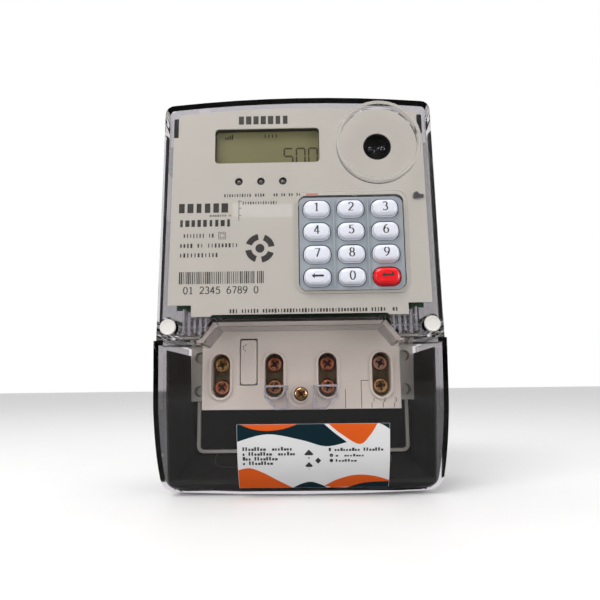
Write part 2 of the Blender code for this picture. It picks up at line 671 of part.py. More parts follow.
def add_screw_well(cover):
    back, wing_front = wing_depths()
    well = rod("join_well", (0, WELL_Z), WELL_RADIUS, TERMINAL_FRONT - 0.3 * MM, back, 28)
    join(cover, well)
    top = WELL_Z + WING_ABOVE
    foot = WELL_Z - WING_BELOW
    half = WING_HALF_WIDTH
    wings = [(-half, foot + WING_CHAMFER), (-half + WING_CHAMFER, foot), (half - WING_CHAMFER, foot)]
    wings += [(half, foot + WING_CHAMFER), (half, top), (-half, top)]
    join(cover, prism("join_wings", [wings], -wing_front, -back))
    for side, sign in (("left", -1), ("right", 1)):
        edges = sorted((sign * (WELL_RADIUS + 1.2 * MM), sign * (half - 1.8 * MM)))
        pocket = rectangle(edges[0], foot + WING_CHAMFER * 0.6, edges[1], top - 1.6 * MM)
        cut(cover, prism("cut_wing_" + side, [pocket], -wing_front - 1 * MM, -back - 1.4 * MM))
    floor = back + WELL_FLOOR_THICKNESS
    way = SCREW_SHANK_RADIUS + PRESS_GAP
    cut(cover, rod("cut_well_bore", (0, WELL_Z), WELL_BORE, TERMINAL_FRONT + 2 * MM, floor, 28))
    cut(cover, rod("cut_well_way", (0, WELL_Z), way, floor + 1 * MM, back - 2 * MM, 16))


def terminal_cover_screw(finish):
    back = wing_depths()[0]
    under = back + WELL_FLOOR_THICKNESS + PRESS_GAP
    front = under + COVER_HEAD_HEIGHT
    tip = under - COVER_SHANK_LENGTH
    head = (COVER_HEAD_RADIUS, COVER_HEAD_HEIGHT)
    made = screw("terminal_cover_screw", (0, WELL_Z), front, head, SCREW_SHANK_RADIUS, tip)
    return as_part(made, finish, pivot=(0, -front, WELL_Z))


def cover_label(finish):
    """Printed sticker that follows the curved face of the terminal cover."""
    side = side_outline()
    outer = inset(side, -(PRESS_GAP + LABEL_THICKNESS))
    inner = inset(side, -PRESS_GAP)
    low = COVER_NOSE_DEPTH + LABEL_NOSE_CLEARANCE
    keep = [k for k in range(1, len(side) - 2) if -side[k][0] > low]
    top_rise = LABEL_TOP_Z - COVER_BEND_Z
    first = next(k for k in keep if side[k][1] < LABEL_TOP_Z)
    kept = [k for k in keep if k >= first]
    strip_outer = [point_on(outer, first, top_rise)] + [outer[k] for k in kept]
    strip_inner = [point_on(inner, first, top_rise)] + [inner[k] for k in kept]
    border = strip_outer + list(reversed(strip_inner))
    return as_part(prism("cover_label", [border], LABEL_LEFT, LABEL_RIGHT, "YZ"), finish)


def point_on(points, index, top_rise):
    """The point at the label's top height on the stretch that ends at an index."""
    above = points[index - 1]
    below = points[index]
    height = COVER_BEND_Z + top_rise
    share = (above[1] - height) / (above[1] - below[1])
    return (above[0] + (below[0] - above[0]) * share, height)


# ---- terminals --------------------------------------------------------------
def terminal_block(finish):
    """Moulded block with four screw slots in front and four cable sockets below."""
    half = block_half_width()
    tab_top, tab_foot = seam_corners()
    seam = SEAM_Z - 2 * GAP
    back = -(BASE_PLATE + GAP)
    side = GAP * 0.8
    right = [(half, BLOCK_BOTTOM), (half, seam), (tab_foot - side, seam)]
    right.append((tab_top - side, SEAM_Z + TAB_RISE - GAP))
    border = right + [(-x, z) for x, z in reversed(right)]
    block = prism("terminal_block", [border], -BLOCK_FRONT, back)
    cage_high = slot_centre_z() + SCREW_PITCH / 2 + CAGE_END
    rim_front = -(BLOCK_FRONT + SLOT_RIM_HEIGHT)
    for k, x in enumerate(pole_xs()):
        rim = slot_outline(x, SLOT_RIM)
        join(block, prism("join_slot_rim_%d" % (k + 1), [rim], rim_front, -(BLOCK_FRONT - 1 * MM)))
    for k, x in enumerate(pole_xs()):
        socket_half = CAGE_HALF_WIDTH + GAP
        low = (x - socket_half, -(CAGE_FRONT + GAP), BLOCK_BOTTOM - 2 * MM)
        high = (x + socket_half, -(CAGE_FRONT - CAGE_DEPTH - GAP), cage_high + GAP)
        slot = [slot_outline(x)]
        cut(block, prism("cut_slot_%d" % (k + 1), slot, rim_front - 2 * MM, -(CAGE_FRONT - 1 * MM)))
        cut(block, box("cut_socket_%d" % (k + 1), low, high))
    x_low, x_high = lever_span_x()
    low = (x_low - GAP, -(BLOCK_FRONT + 2 * MM), LEVER_TOP_Z - LEVER_LENGTH - GAP)
    high = (x_high + GAP, -LEVER_POCKET_FLOOR, LEVER_TOP_Z + 0.7 * MM)
    cut(block, box("cut_lever_pocket", low, high))
    bore = SCREW_SHANK_RADIUS + PRESS_GAP
    cut(block, rod("cut_cover_thread", (0, WELL_Z), bore, BLOCK_FRONT + 2 * MM, COVER_THREAD_FLOOR, 16))
    return as_part(block, finish)


def terminal_cages(finish):
    """Brass box clamps, open from below for the cable."""
    cage_low = slot_centre_z() - SCREW_PITCH / 2 - CAGE_END
    cage_high = slot_centre_z() + SCREW_PITCH / 2 + CAGE_END
    back = CAGE_FRONT - CAGE_DEPTH
    for k, x in enumerate(pole_xs()):
        half = CAGE_HALF_WIDTH
        border = rectangle(x - half, -CAGE_FRONT, x + half, -back)
        inner = half - CAGE_WALL
        hole = rectangle(x - inner, -CAGE_FRONT + CAGE_FRONT_WALL, x + inner, -back - CAGE_WALL)
        cage = prism("terminal_cage_%d" % (k + 1), [border, hole], cage_low, cage_high, "XY")
        for row in (0, 1):
            z = UPPER_SCREW_Z - SCREW_PITCH * row
            bore = CLAMP_SHANK_RADIUS + PRESS_GAP
            name = "cut_cage_%d_%d" % (k + 1, row + 1)
            cut(cage, rod(name, (x, z), bore, CAGE_FRONT + 2 * MM, CAGE_FRONT - CAGE_FRONT_WALL - 2 * MM, 16))
        as_part(cage, finish)


def clamp_screws(finish):
    for k, x in enumerate(pole_xs()):
        for row, place in enumerate(("upper", "lower")):
            axis = (x, UPPER_SCREW_Z - SCREW_PITCH * row)
            name = "clamp_screw_%d_%s" % (k + 1, place)
            head = (CLAMP_HEAD_RADIUS, CLAMP_HEAD_HEIGHT)
            made = screw(name, axis, CLAMP_HEAD_FRONT, head, CLAMP_SHANK_RADIUS, CLAMP_TIP)
            as_part(made, finish, pivot=(x, -CLAMP_HEAD_FRONT, axis[1]))


def lever_span_x():
    middle = (pole_xs()[0] + pole_xs()[1]) / 2 + 0.6 * MM
    return middle - LEVER_WIDTH / 2, middle + LEVER_WIDTH / 2


def tamper_lever(finish):
    """Finger that the terminal cover presses, hinged at its lower end."""
    x_low, x_high = lever_span_x()
    z_low = LEVER_TOP_Z - LEVER_LENGTH
    half = (LEVER_WIDTH / 2, LEVER_LENGTH / 2)
    border = rounded(((x_low + x_high) / 2, (LEVER_TOP_Z + z_low) / 2), half, 1.2 * MM, 3)
    lever = prism("tamper_lever", [border], -LEVER_FRONT, -(LEVER_FRONT - LEVER_THICKNESS))
    pivot = ((x_low + x_high) / 2, -(LEVER_FRONT - LEVER_THICKNESS / 2), z_low + 1 * MM)
    return as_part(lever, finish, pivot=pivot)


def tamper_switch(finish):
    x = sum(lever_span_x()) / 2
    width, depth, height = SWITCH_SIZE
    back = LEVER_POCKET_FLOOR + PRESS_GAP
    top = LEVER_TOP_Z - 3.5 * MM
    low = (x - width / 2, -(back + depth), top - height)
    return as_part(box("tamper_switch", low, (x + width / 2, -back, top)), finish)


# ---- nameplate, display and lamps -------------------------------------------
def nameplate(finish):
    """Printed sheet behind the main cover, cut out for display, lamps, port and keypad."""
    outline = inset(upper_outline(), PLATE_INSET)
    plate = prism("nameplate", [outline], -PLATE_FRONT, -(PLATE_FRONT - PLATE_THICKNESS))
    far = 0.2
    front, back = -PLATE_FRONT - 2 * MM, -PLATE_FRONT + 3 * MM
    cut(plate, box("cut_plate_foot", (-far, front, -far), (far, back, PLATE_BOTTOM_Z)))
    top_half = HALF_WIDTH - PLATE_INSET
    shoulder = TOP_Z - TOP_RISE - PLATE_INSET - PLATE_TOP_NOTCH[1]
    notches = (
        ("top", PLATE_TOP_NOTCH[0], shoulder, far),
        ("foot", PLATE_BOTTOM_NOTCH[0], -far, PLATE_BOTTOM_Z + PLATE_BOTTOM_NOTCH[1]),
    )
    for side, sign in (("left", -1), ("right", 1)):
        for place, reach, low_z, high_z in notches:
            xs = sorted((sign * (top_half - reach), sign * far))
            cut(plate, box("cut_%s_%s" % (place, side), (xs[0], front, low_z), (xs[1], back, high_z)))
    holes = [rounded(LCD_CENTRE, LCD_HALF, 1.8 * MM, 3)]
    holes += [circle((x, LAMP_Z), LAMP_RADIUS + 0.2 * MM, 16) for x in LAMP_XS]
    holes.append(circle(optic_axis(), OPTIC_RADIUS, 28))
    holes.append(rounded(keypad_centre(), [h + GAP for h in MAT_HALF], MAT_RADIUS + GAP, 4))
    for k, hole in enumerate(holes):
        cut(plate, prism("cut_plate_hole_%d" % (k + 1), [hole], front, back))
    return as_part(plate, finish)


def lcd_module(finish):
    half = [h + LCD_BORDER - GAP for h in LCD_HALF]
    front = PLATE_FRONT - PLATE_THICKNESS - LCD_RECESS
    x, z = LCD_CENTRE
    border = rectangle(x - half[0], z - half[1], x + half[0], z + half[1])
    return as_part(prism("lcd_module", [border], -front, -(front - LCD_GLASS)), finish)


def lcd_holder(finish):
    """Frame that stands on the display board and carries the glass behind the window."""
    front = PLATE_FRONT - PLATE_THICKNESS - PRESS_GAP
    back = DISPLAY_BOARD_DEPTH + BOARD + PRESS_GAP
    wall = 1.2 * MM
    outer = [h + LCD_BORDER + wall for h in LCD_HALF]
    seat = [h + LCD_BORDER for h in LCD_HALF]
    window = [h - 0.2 * MM for h in LCD_HALF]
    border = rounded(LCD_CENTRE, outer, 1.5 * MM, 2)
    holder = prism("lcd_holder", [border, rounded(LCD_CENTRE, window, 1.8 * MM, 3)], -front, -back)
    glass_front = PLATE_FRONT - PLATE_THICKNESS - LCD_RECESS + PRESS_GAP
    low = (LCD_CENTRE[0] - seat[0], -glass_front, LCD_CENTRE[1] - seat[1])
    high = (LCD_CENTRE[0] + seat[0], -back + 2 * MM, LCD_CENTRE[1] + seat[1])
    cut(holder, box("cut_lcd_seat", low, high))
    return as_part(holder, finish)


def domed_lamp(name, axis, radius, front, back, finish):
    """A round-nosed lamp or diode."""
    nose = [(radius * sin(radians(a)), front - radius * (1 - cos(radians(a)))) for a in (0, 30, 60, 90)]
    return as_part(turned(name, nose + [(radius, back), (0, back)], axis, 16), finish)


def lamps(finish):
    back = DISPLAY_BOARD_DEPTH + BOARD + PRESS_GAP
    for name, x in zip(("led_credit", "led_alarm", "led_pulse"), LAMP_XS):
        domed_lamp(name, (x, LAMP_Z), LAMP_RADIUS, PLATE_FRONT - 0.2 * MM, back, finish)


def optical_port(holder_finish, diode_finish):
    """Dark cup behind the nameplate hole, with the two infrared diodes in it."""
    axis = optic_axis()
    back = DISPLAY_BOARD_DEPTH + BOARD + PRESS_GAP
    front = PLATE_FRONT - PLATE_THICKNESS - PRESS_GAP
    floor = back + 1.0 * MM
    profile = [(OPTIC_RADIUS - 0.3 * MM, front), (OPTIC_RADIUS + 1.2 * MM, front)]
    profile += [(OPTIC_RADIUS + 1.2 * MM, back), (0, back), (0, floor), (OPTIC_RADIUS - 0.3 * MM, floor)]
    profile.append(profile[0])
    as_part(turned("diode_holder", profile, axis, 28), holder_finish)
    for name, sign in (("ir_emitter", -1), ("ir_receiver", 1)):
        place = (axis[0] + sign * DIODE_SPACING / 2, axis[1])
        domed_lamp(name, place, DIODE_RADIUS, front - 0.6 * MM, floor + PRESS_GAP, diode_finish)


# ---- keypad -----------------------------------------------------------------
KEY_NAMES = (
    ("key_1", "key_2", "key_3"),
    ("key_4", "key_5", "key_6"),
    ("key_7", "key_8", "key_9"),
    ("key_back", "key_0", "key_enter"),
)


def key_places():
    middle_x, middle_z = keypad_centre()
    for row, names in enumerate(KEY_NAMES):
        for column, name in enumerate(names):
            yield name, (middle_x + (column - 1) * KEY_PITCH_X, middle_z + (1.5 - row) * KEY_PITCH_Z)


def keypad_mat(finish):
    """Rubber mat in the cover's window, with a way through for each key."""
    holes = []
    for _, place in key_places():
        holes.append(rounded(place, [h + GAP for h in KEY_HALF], KEY_RADIUS + GAP, 4))
    border = rounded(keypad_centre(), MAT_HALF, MAT_RADIUS, 5)
    mat = prism("keypad_mat", [border] + holes, -MAT_FRONT, -(MAT_FRONT - MAT_THICKNESS))
    return as_part(mat, finish)


def keys(white, red):
    for name, place in key_places():
        border = rounded(place, KEY_HALF, KEY_RADIUS, 4)
        made = prism(name, [border], -KEY_FRONT, -(KEY_FRONT - KEY_HEIGHT))
        as_part(made, red if name == "key_enter" else white, pivot=(place[0], -KEY_FRONT, place[1]))


def keypad_board(finish):
    back = MAT_FRONT - MAT_THICKNESS - PRESS_GAP
    half = [h + 1.5 * MM for h in MAT_HALF]
    border = rounded(keypad_centre(), half, 2 * MM, 2)
    front = min(back, KEY_FRONT - KEY_HEIGHT - KEY_TRAVEL - PRESS_GAP)
    return as_part(prism("keypad_board", [border], -front, -(front - 1.2 * MM)), finish)


# ---- electronics ------------------------------------------------------------
def board_outline():
    half = HALF_WIDTH - BOARD_SIDE_CLEARANCE
    return rectangle(-half, BOARD_BOTTOM_Z, half, TOP_Z - BOARD_TOP_DROP)


def boards(finish):
    for name, back in (("main_board", MAIN_BOARD_DEPTH), ("display_board", DISPLAY_BOARD_DEPTH)):
        as_part(prism(name, [board_outline()], -(back + BOARD), -back), finish)


def on_main_board(name, x, z, size, finish):
    """A square component standing on the front of the main board."""
    back = MAIN_BOARD_DEPTH + BOARD + PRESS_GAP
    width, height, tall = size
    low = (x - width / 2, -(back + tall), z - height / 2)
    return as_part(box(name, low, (x + width / 2, -back, z + height / 2)), finish)


def round_on_main_board(name, x, z, radius, tall, finish):
    back = MAIN_BOARD_DEPTH + BOARD + PRESS_GAP
    return as_part(rod(name, (x, z), radius, back + tall, back, 24), finish)


def components(plastic, metal, winding, sleeve):
    """The parts that do the switching, measuring and supply work."""
    on_main_board("latching_relay", *RELAY, plastic)
    on_main_board("current_shunt", *SHUNT, metal)
    on_main_board("supply_transformer", *TRANSFORMER, winding)
    round_on_main_board("power_capacitor", *CAPACITOR, sleeve)
    round_on_main_board("backup_battery", *BATTERY, metal)
    round_on_main_board("buzzer", *BUZZER, sleeve)
    x, z = -(HALF_WIDTH - CONNECTOR_EDGE), TOP_Z - CONNECTOR_DROP
    tall = DISPLAY_BOARD_DEPTH - MAIN_BOARD_DEPTH - BOARD - 2 * PRESS_GAP
    on_main_board("board_connector", x, z, (*CONNECTOR_SECTION, tall), plastic)


# ---- assembly ---------------------------------------------------------------
def finishes():
    return {
        "case": material("light_grey_plastic", (0.62, 0.60, 0.55), 0.45),
        "block": material("terminal_plastic", (0.50, 0.44, 0.38), 0.5),
        "clear": material("clear_polycarbonate", (0.85, 0.85, 0.88), 0.05, alpha=0.3),
        "black": material("black_plastic", (0.012, 0.012, 0.011), 0.4),
        "rubber": material("black_rubber", (0.03, 0.03, 0.03), 0.8),
        "plate": material("printed_plate", (0.55, 0.53, 0.47), 0.5),
        "lcd": material("display_glass", (0.22, 0.22, 0.12), 0.15),
        "lamp": material("lamp_lens", (0.10, 0.10, 0.10), 0.2),
        "diode": material("infrared_lens", (0.02, 0.02, 0.03), 0.1),
        "mat": material("grey_silicone", (0.30, 0.34, 0.38), 0.6),
        "white_key": material("white_key", (0.80, 0.82, 0.88), 0.35),
        "red_key": material("red_key", (0.75, 0.03, 0.03), 0.35),
        "white": material("white_plastic", (0.80, 0.79, 0.76), 0.4),
        "brass": material("brass", (0.55, 0.35, 0.15), 0.3, 1.0),
        "screw": material("yellow_passivated_steel", (0.60, 0.36, 0.20), 0.3, 1.0),
        "steel": material("zinc_steel", (0.60, 0.60, 0.60), 0.35, 1.0),
        "board": material("green_board", (0.03, 0.14, 0.06), 0.5),
        "component": material("component_black", (0.03, 0.03, 0.03), 0.5),
        "winding": material("transformer_yellow", (0.55, 0.42, 0.08), 0.6),
        "sleeve": material("capacitor_sleeve", (0.03, 0.03, 0.05), 0.3),
        "paper": material("printed_sticker", (0.85, 0.85, 0.85), 0.35),
    }


def build():
    clear_scene()
    look = finishes()
    base_case(look["case"])
    hanger(look["steel"])
    wiring_frame(look["case"])
    cable_tray(look["black"])
    upper_cover(look["clear"])
    cover_gasket(look["rubber"])
    cover_screws(look["steel"])
    seal_plugs(look["white"])
    terminal_cover(look["clear"])
    terminal_cover_screw(look["screw"])
    cover_label(look["paper"])
    terminal_block(look["block"])
    terminal_cages(look["brass"])
    clamp_screws(look["screw"])
    tamper_lever(look["block"])
    tamper_switch(look["component"])
    nameplate(look["plate"])
    lcd_module(look["lcd"])
    lcd_holder(look["black"])
    lamps(look["lamp"])
    optical_port(look["black"], look["diode"])
    keypad_mat(look["mat"])
    keys(look["white_key"], look["red_key"])
    keypad_board(look["board"])
    boards(look["board"])
    components(look["component"], look["steel"], look["winding"], look["sleeve"])


build()
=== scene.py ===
"""Prepaid keypad electricity meter: the finished looks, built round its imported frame.

Lengths are metres. X runs to the right, Z up, and the front faces -Y.
A depth is a distance from the wall plane, so a point at a depth lies at y = -depth.
"""

import json
from math import cos, pi, radians, sin

import bmesh
import bpy
from bpy.props import FloatProperty, FloatVectorProperty, PointerProperty
from mathutils import Matrix, Vector
from mathutils.bvhtree import BVHTree


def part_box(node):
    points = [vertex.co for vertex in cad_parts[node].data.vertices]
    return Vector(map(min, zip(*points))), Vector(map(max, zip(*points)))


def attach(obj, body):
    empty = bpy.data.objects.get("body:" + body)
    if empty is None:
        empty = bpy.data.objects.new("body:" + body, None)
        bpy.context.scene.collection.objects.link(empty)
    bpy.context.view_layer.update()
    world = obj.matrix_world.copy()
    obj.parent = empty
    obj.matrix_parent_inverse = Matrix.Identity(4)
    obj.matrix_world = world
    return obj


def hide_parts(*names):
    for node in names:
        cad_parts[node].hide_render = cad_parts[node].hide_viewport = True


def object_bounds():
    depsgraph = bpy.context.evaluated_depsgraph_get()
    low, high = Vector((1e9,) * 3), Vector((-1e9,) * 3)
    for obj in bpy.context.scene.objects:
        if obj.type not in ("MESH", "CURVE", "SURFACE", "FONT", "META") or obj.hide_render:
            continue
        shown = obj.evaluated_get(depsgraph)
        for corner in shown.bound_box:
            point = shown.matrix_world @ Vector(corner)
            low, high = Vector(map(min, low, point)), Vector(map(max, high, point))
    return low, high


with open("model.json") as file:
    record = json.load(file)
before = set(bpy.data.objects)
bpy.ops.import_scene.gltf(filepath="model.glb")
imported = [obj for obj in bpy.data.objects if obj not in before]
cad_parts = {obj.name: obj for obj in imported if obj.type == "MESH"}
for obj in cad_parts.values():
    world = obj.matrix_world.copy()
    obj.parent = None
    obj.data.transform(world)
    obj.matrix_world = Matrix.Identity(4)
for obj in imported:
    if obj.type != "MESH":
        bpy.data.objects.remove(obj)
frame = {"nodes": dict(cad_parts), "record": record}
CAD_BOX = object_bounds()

bl_info = {
    "name": "Keypad electricity meter",
    "version": (1, 0, 0),
    "blender": (4, 5, 0),
    "location": "3D View > Sidebar > Meter",
    "description": "Builds the finished pieces of a prepaid electricity meter round its frame",
    "category": "Object",
}

MM = 0.001
BODIES = frame["record"]["behaviour"]["bodies"]
BODY_OF = {node: body for body, nodes in BODIES.items() for node in nodes}
ROOT = BODY_OF["base_case"]
KEYS = ("key_1", "key_2", "key_3", "key_4", "key_5", "key_6", "key_7", "key_8", "key_9")
KEYS += ("key_back", "key_0", "key_enter")
POLES = (1, 2, 3, 4)


# ---- sizes and colours a user may change -------------------------------------
def length(label, about, default):
    return FloatProperty(name=label, description=about, default=default, unit="LENGTH", precision=5)


def colour(label, about, default):
    return FloatVectorProperty(
        name=label, description=about, default=default, subtype="COLOR", size=3, min=0, max=1)


class MeterSizes(bpy.types.PropertyGroup):
    cover_edge: length("Cover edge", "Radius of the clear covers' edges", 0.6 * MM)
    moulded_edge: length("Moulded edge", "Radius of the opaque mouldings' edges", 0.35 * MM)
    sheet_edge: length("Sheet edge", "Radius on thin sheets and boards", 0.12 * MM)
    print_thickness: length("Print", "Thickness of printed marks", 0.03 * MM)
    key_crown: length("Key crown", "How far a key's middle stands above its edge", 0.35 * MM)
    legend_height: length("Key legend", "Height of the digits on the keys", 4.2 * MM)
    digit_height: length("Display digit", "Height of the display's digits", 8.4 * MM)
    thread_pitch: length("Thread pitch", "Pitch of the screws' threads", 0.9 * MM)


class MeterColours(bpy.types.PropertyGroup):
    case: colour("Case", "Light grey base and frame", (0.60, 0.57, 0.51))
    block: colour("Terminal block", "Warm grey terminal block and lever", (0.72, 0.64, 0.56))
    plate: colour("Nameplate", "Printed nameplate", (0.60, 0.575, 0.505))
    ink: colour("Ink", "Printed marks", (0.035, 0.032, 0.028))
    tint: colour("Cover tint", "Clear covers", (0.955, 0.945, 0.962))
    mat: colour("Keypad mat", "Rubber mat round the keys", (0.29, 0.325, 0.36))
    white_key: colour("White keys", "Digit and back keys", (0.74, 0.76, 0.84))
    red_key: colour("Red key", "Enter key", (0.80, 0.012, 0.018))
    display: colour("Display", "Display background", (0.225, 0.215, 0.105))
    orange: colour("Sticker orange", "Waves on the sticker", (0.72, 0.105, 0.012))
    teal: colour("Sticker teal", "Waves on the sticker", (0.002, 0.018, 0.028))


class MeterStage(bpy.types.PropertyGroup):
    floor: colour("Floor", "Plain floor", (0.93, 0.93, 0.93))
    room: FloatProperty(name="Room light", description="Strength of the room's light", default=1.0)
    key_light: FloatProperty(name="Key light", description="Power of the key light", default=6.0)
    side_light: FloatProperty(name="Side lights", description="Power of each side light", default=3.4)
    front_light: FloatProperty(name="Front light", description="Power of the front light", default=3.6)
    strip_light: FloatProperty(name="Strip light", description="Power of the small strip", default=0.014)
    lens: FloatProperty(name="Lens", description="Focal length in millimetres", default=31.58)


# ---- mesh helpers ------------------------------------------------------------
def to_mesh(bm, name, smooth=35.0):
    """Close, turn outwards and shade a bmesh, and return it as a mesh."""
    bmesh.ops.remove_doubles(bm, verts=bm.verts, dist=1e-7)
    bmesh.ops.recalc_face_normals(bm, faces=bm.faces)
    mesh = bpy.data.meshes.new(name)
    bm.to_mesh(mesh)
    bm.free()
    shade(mesh, smooth)
    return mesh


def shade(mesh, angle=35.0):
    mesh.shade_smooth()
    mesh.set_sharp_from_angle(angle=radians(angle))


def flatten_faces(mesh, angle=35.0):
    """Weight corner normals by area, so flat faces stay flat beside rounded edges."""
    around = [[] for _ in mesh.vertices]
    for face in mesh.polygons:
        for index in face.vertices:
            around[index].append(face)
    limit = cos(radians(angle))
    normals = []
    for face in mesh.polygons:
        for index in face.vertices:
            total = Vector()
            for other in around[index]:
                if other.normal.dot(face.normal) > limit:
                    total += other.normal * other.area
            normals.append(total.normalized() if total.length > 0 else face.normal.copy())
    mesh.normals_split_custom_set(normals)


def piece(name, mesh, finish, body=ROOT, stands_for=()):
    """A finished piece, with its place in its mesh, that moves with a body."""
    made = bpy.data.objects.new(name, mesh)
    bpy.context.scene.collection.objects.link(made)
    if finish is not None:
        mesh.materials.clear()
        mesh.materials.append(finish)
    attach(made, body)
    if stands_for:
        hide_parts(*stands_for)
    return made


def merged(node):
    """A CAD node's mesh with its loose triangles joined into whole faces."""
    bm = bmesh.new()
    bm.from_mesh(frame["nodes"][node].data)
    bmesh.ops.remove_doubles(bm, verts=bm.verts, dist=1e-6)
    bmesh.ops.dissolve_limit(bm, angle_limit=radians(0.5), verts=bm.verts, edges=bm.edges)
    return bm


def round_edges(bm, width, segments=2, sharp=38.0):
    edges = [e for e in bm.edges if e.is_manifold and e.calc_face_angle(0) > radians(sharp)]
    bmesh.ops.bevel(
        bm, geom=edges, offset=width, offset_type="OFFSET", segments=segments,
        profile=0.5, affect="EDGES", clamp_overlap=True)
    return bm


def refined(node, finish, width, segments=2, name=None, smooth=35.0):
    """A piece with a CAD node's shape and its edges rounded, that stands for the node."""
    mesh = to_mesh(round_edges(merged(node), width, segments), name or node + "_finished", smooth)
    flatten_faces(mesh)
    return piece(mesh.name, mesh, finish, BODY_OF[node], [node])


def arc(centre, radii, start, end, steps):
    """Points on an arc of an ellipse, angles in degrees anticlockwise."""
    angles = [radians(start + (end - start) * k / steps) for k in range(steps + 1)]
    return [(centre[0] + radii[0] * cos(a), centre[1] + radii[1] * sin(a)) for a in angles]


def rounded(centre, half, radius, steps=8):
    """A rectangle with round corners, anticlockwise from its lower left."""
    points = []
    for sign_x, sign_z, start in ((-1, -1, 180), (1, -1, 270), (1, 1, 0), (-1, 1, 90)):
        corner = (centre[0] + sign_x * (half[0] - radius), centre[1] + sign_z * (half[1] - radius))
        points += arc(corner, (radius, radius), start, start + 90, steps)
    return points


def rectangle(left, bottom, right, top):
    return [(left, bottom), (right, bottom), (right, top), (left, top)]


def smooth_path(points, steps=6, closed=False):
    """Points on a curve that passes through the given ones."""
    count = len(points)
    path = []
    last = count if closed else count - 1
    for k in range(last):
        around = [points[(k + d) % count if closed else min(max(k + d, 0), count - 1)] for d in (-1, 0, 1, 2)]
        a, b, c, d = (Vector(p) for p in around)
        for step in range(steps):
            t = step / steps
            path.append(tuple(0.5 * (2 * b + (c - a) * t + (2 * a - 5 * b + 4 * c - d) * t ** 2
                                     + (3 * b - a - 3 * c + d) * t ** 3)))
    if not closed:
        path.append(tuple(points[-1]))
    return path


def loft(bm, rings, closed_ends=True):
    """Join rings of the same number of points into a skin."""
    rows = [[bm.verts.new(p) for p in ring] for ring in rings]
    for here, there in zip(rows, rows[1:]):
        for k in range(len(here)):
            j = (k + 1) % len(here)
            bm.faces.new((here[k], here[j], there[j], there[k]))
    if closed_ends:
        bm.faces.new(list(reversed(rows[0])))
        bm.faces.new(rows[-1])
    return rows


def lathe(profile, axis, steps=40):
    """A bmesh turned from (radius, depth) pairs about an axis along Y through (x, z)."""
    bm = bmesh.new()
    rings = []
    for radius, depth in profile:
        turn = [2 * pi * k / steps for k in range(steps)]
        reach = max(radius, 1e-6)
        rings.append([(axis[0] + reach * cos(a), -depth, axis[1] + reach * sin(a)) for a in turn])
    closed = profile[0] == profile[-1]
    rows = loft(bm, rings[:-1] if closed else rings, not closed)
    if closed:
        for k in range(steps):
            j = (k + 1) % steps
            bm.faces.new((rows[-1][k], rows[-1][j], rows[0][j], rows[0][k]))
    return bm


def slab(bm, outline, front, back):
    """Add a closed solid with this outline in X and Z between two depths."""
    loft(bm, [[(x, -back, z) for x, z in outline], [(x, -front, z) for x, z in outline]])
    return bm


def block(bm, low, high):
    return slab(bm, rectangle(low[0], low[2], high[0], high[2]), -low[1], -high[1])


def tube(bm, points, radius, sides=8):
    """Add a closed tube along points in space."""
    rings = []
    for k, here in enumerate(points):
        before = Vector(points[max(k - 1, 0)])
        after = Vector(points[min(k + 1, len(points) - 1)])
        along = (after - before).normalized()
        side = along.cross(Vector((0, 1, 0.01))).normalized()
        other = along.cross(side)
        turn = [2 * pi * s / sides for s in range(sides)]
        rings.append([Vector(here) + radius * (side * cos(a) + other * sin(a)) for a in turn])
    loft(bm, rings)
    return bm


def front_of(mesh):
    """A function that gives the depth of a mesh's front surface at (x, z)."""
    bm = bmesh.new()
    bm.from_mesh(mesh)
    tree = BVHTree.FromBMesh(bm)
    bm.free()

    def depth_at(x, z):
        found = tree.ray_cast(Vector((x, -1, z)), Vector((0, 1, 0)))[0]
        if found is None:
            found = tree.find_nearest(Vector((x, -0.2, z)))[0]
        return -found.y

    return depth_at


def level(depth):
    return lambda x, z: depth


def ink_sheet(bm, outline, depth_at, thickness, step=None):
    """Add a thin closed sheet that lies on a surface, cut across every step where it bends."""
    flat = bmesh.new()
    flat.faces.new([flat.verts.new((x, 0, z)) for x, z in outline])
    for axis in (0, 1):
        reach = [point[axis] for point in outline]
        cut = min(reach) + (step or 1)
        while step and cut < max(reach):
            whole = flat.verts[:] + flat.edges[:] + flat.faces[:]
            place = (cut, 0, 0) if axis == 0 else (0, 0, cut)
            normal = (1, 0, 0) if axis == 0 else (0, 0, 1)
            bmesh.ops.bisect_plane(flat, geom=whole, plane_co=place, plane_no=normal)
            cut += step
    bmesh.ops.triangulate(flat, faces=flat.faces)
    bottom = {}
    top = {}
    for v in flat.verts:
        depth = depth_at(v.co.x, v.co.z)
        bottom[v] = bm.verts.new((v.co.x, -depth, v.co.z))
        top[v] = bm.verts.new((v.co.x, -depth - thickness, v.co.z))
    for f in flat.faces:
        bm.faces.new([top[v] for v in f.verts])
        bm.faces.new([bottom[v] for v in reversed(f.verts)])
    for e in flat.edges:
        if e.is_boundary:
            a, b = e.verts
            bm.faces.new((bottom[a], bottom[b], top[b], top[a]))
    flat.free()
    return bm


def stroke(points, thick, thin, closed=False):
    """Outlines of a pen stroke that is thick where it runs upright and thin where it runs level."""
    count = len(points)
    left, right = [], []
    for k, here in enumerate(points):
        before = Vector(points[k - 1] if closed or k else here)
        after = Vector(points[(k + 1) % count] if closed or k + 1 < count else here)
        along = (after - before).normalized()
        reach = (thin + (thick - thin) * abs(along.y)) / 2
        side = Vector((-along.y, along.x)) * reach
        left.append(tuple(Vector(here) + side))
        right.append(tuple(Vector(here) - side))
    pairs = list(zip(left, right))
    if closed:
        pairs.append(pairs[0])
    return [[a[0], b[0], b[1], a[1]] for a, b in zip(pairs, pairs[1:])]


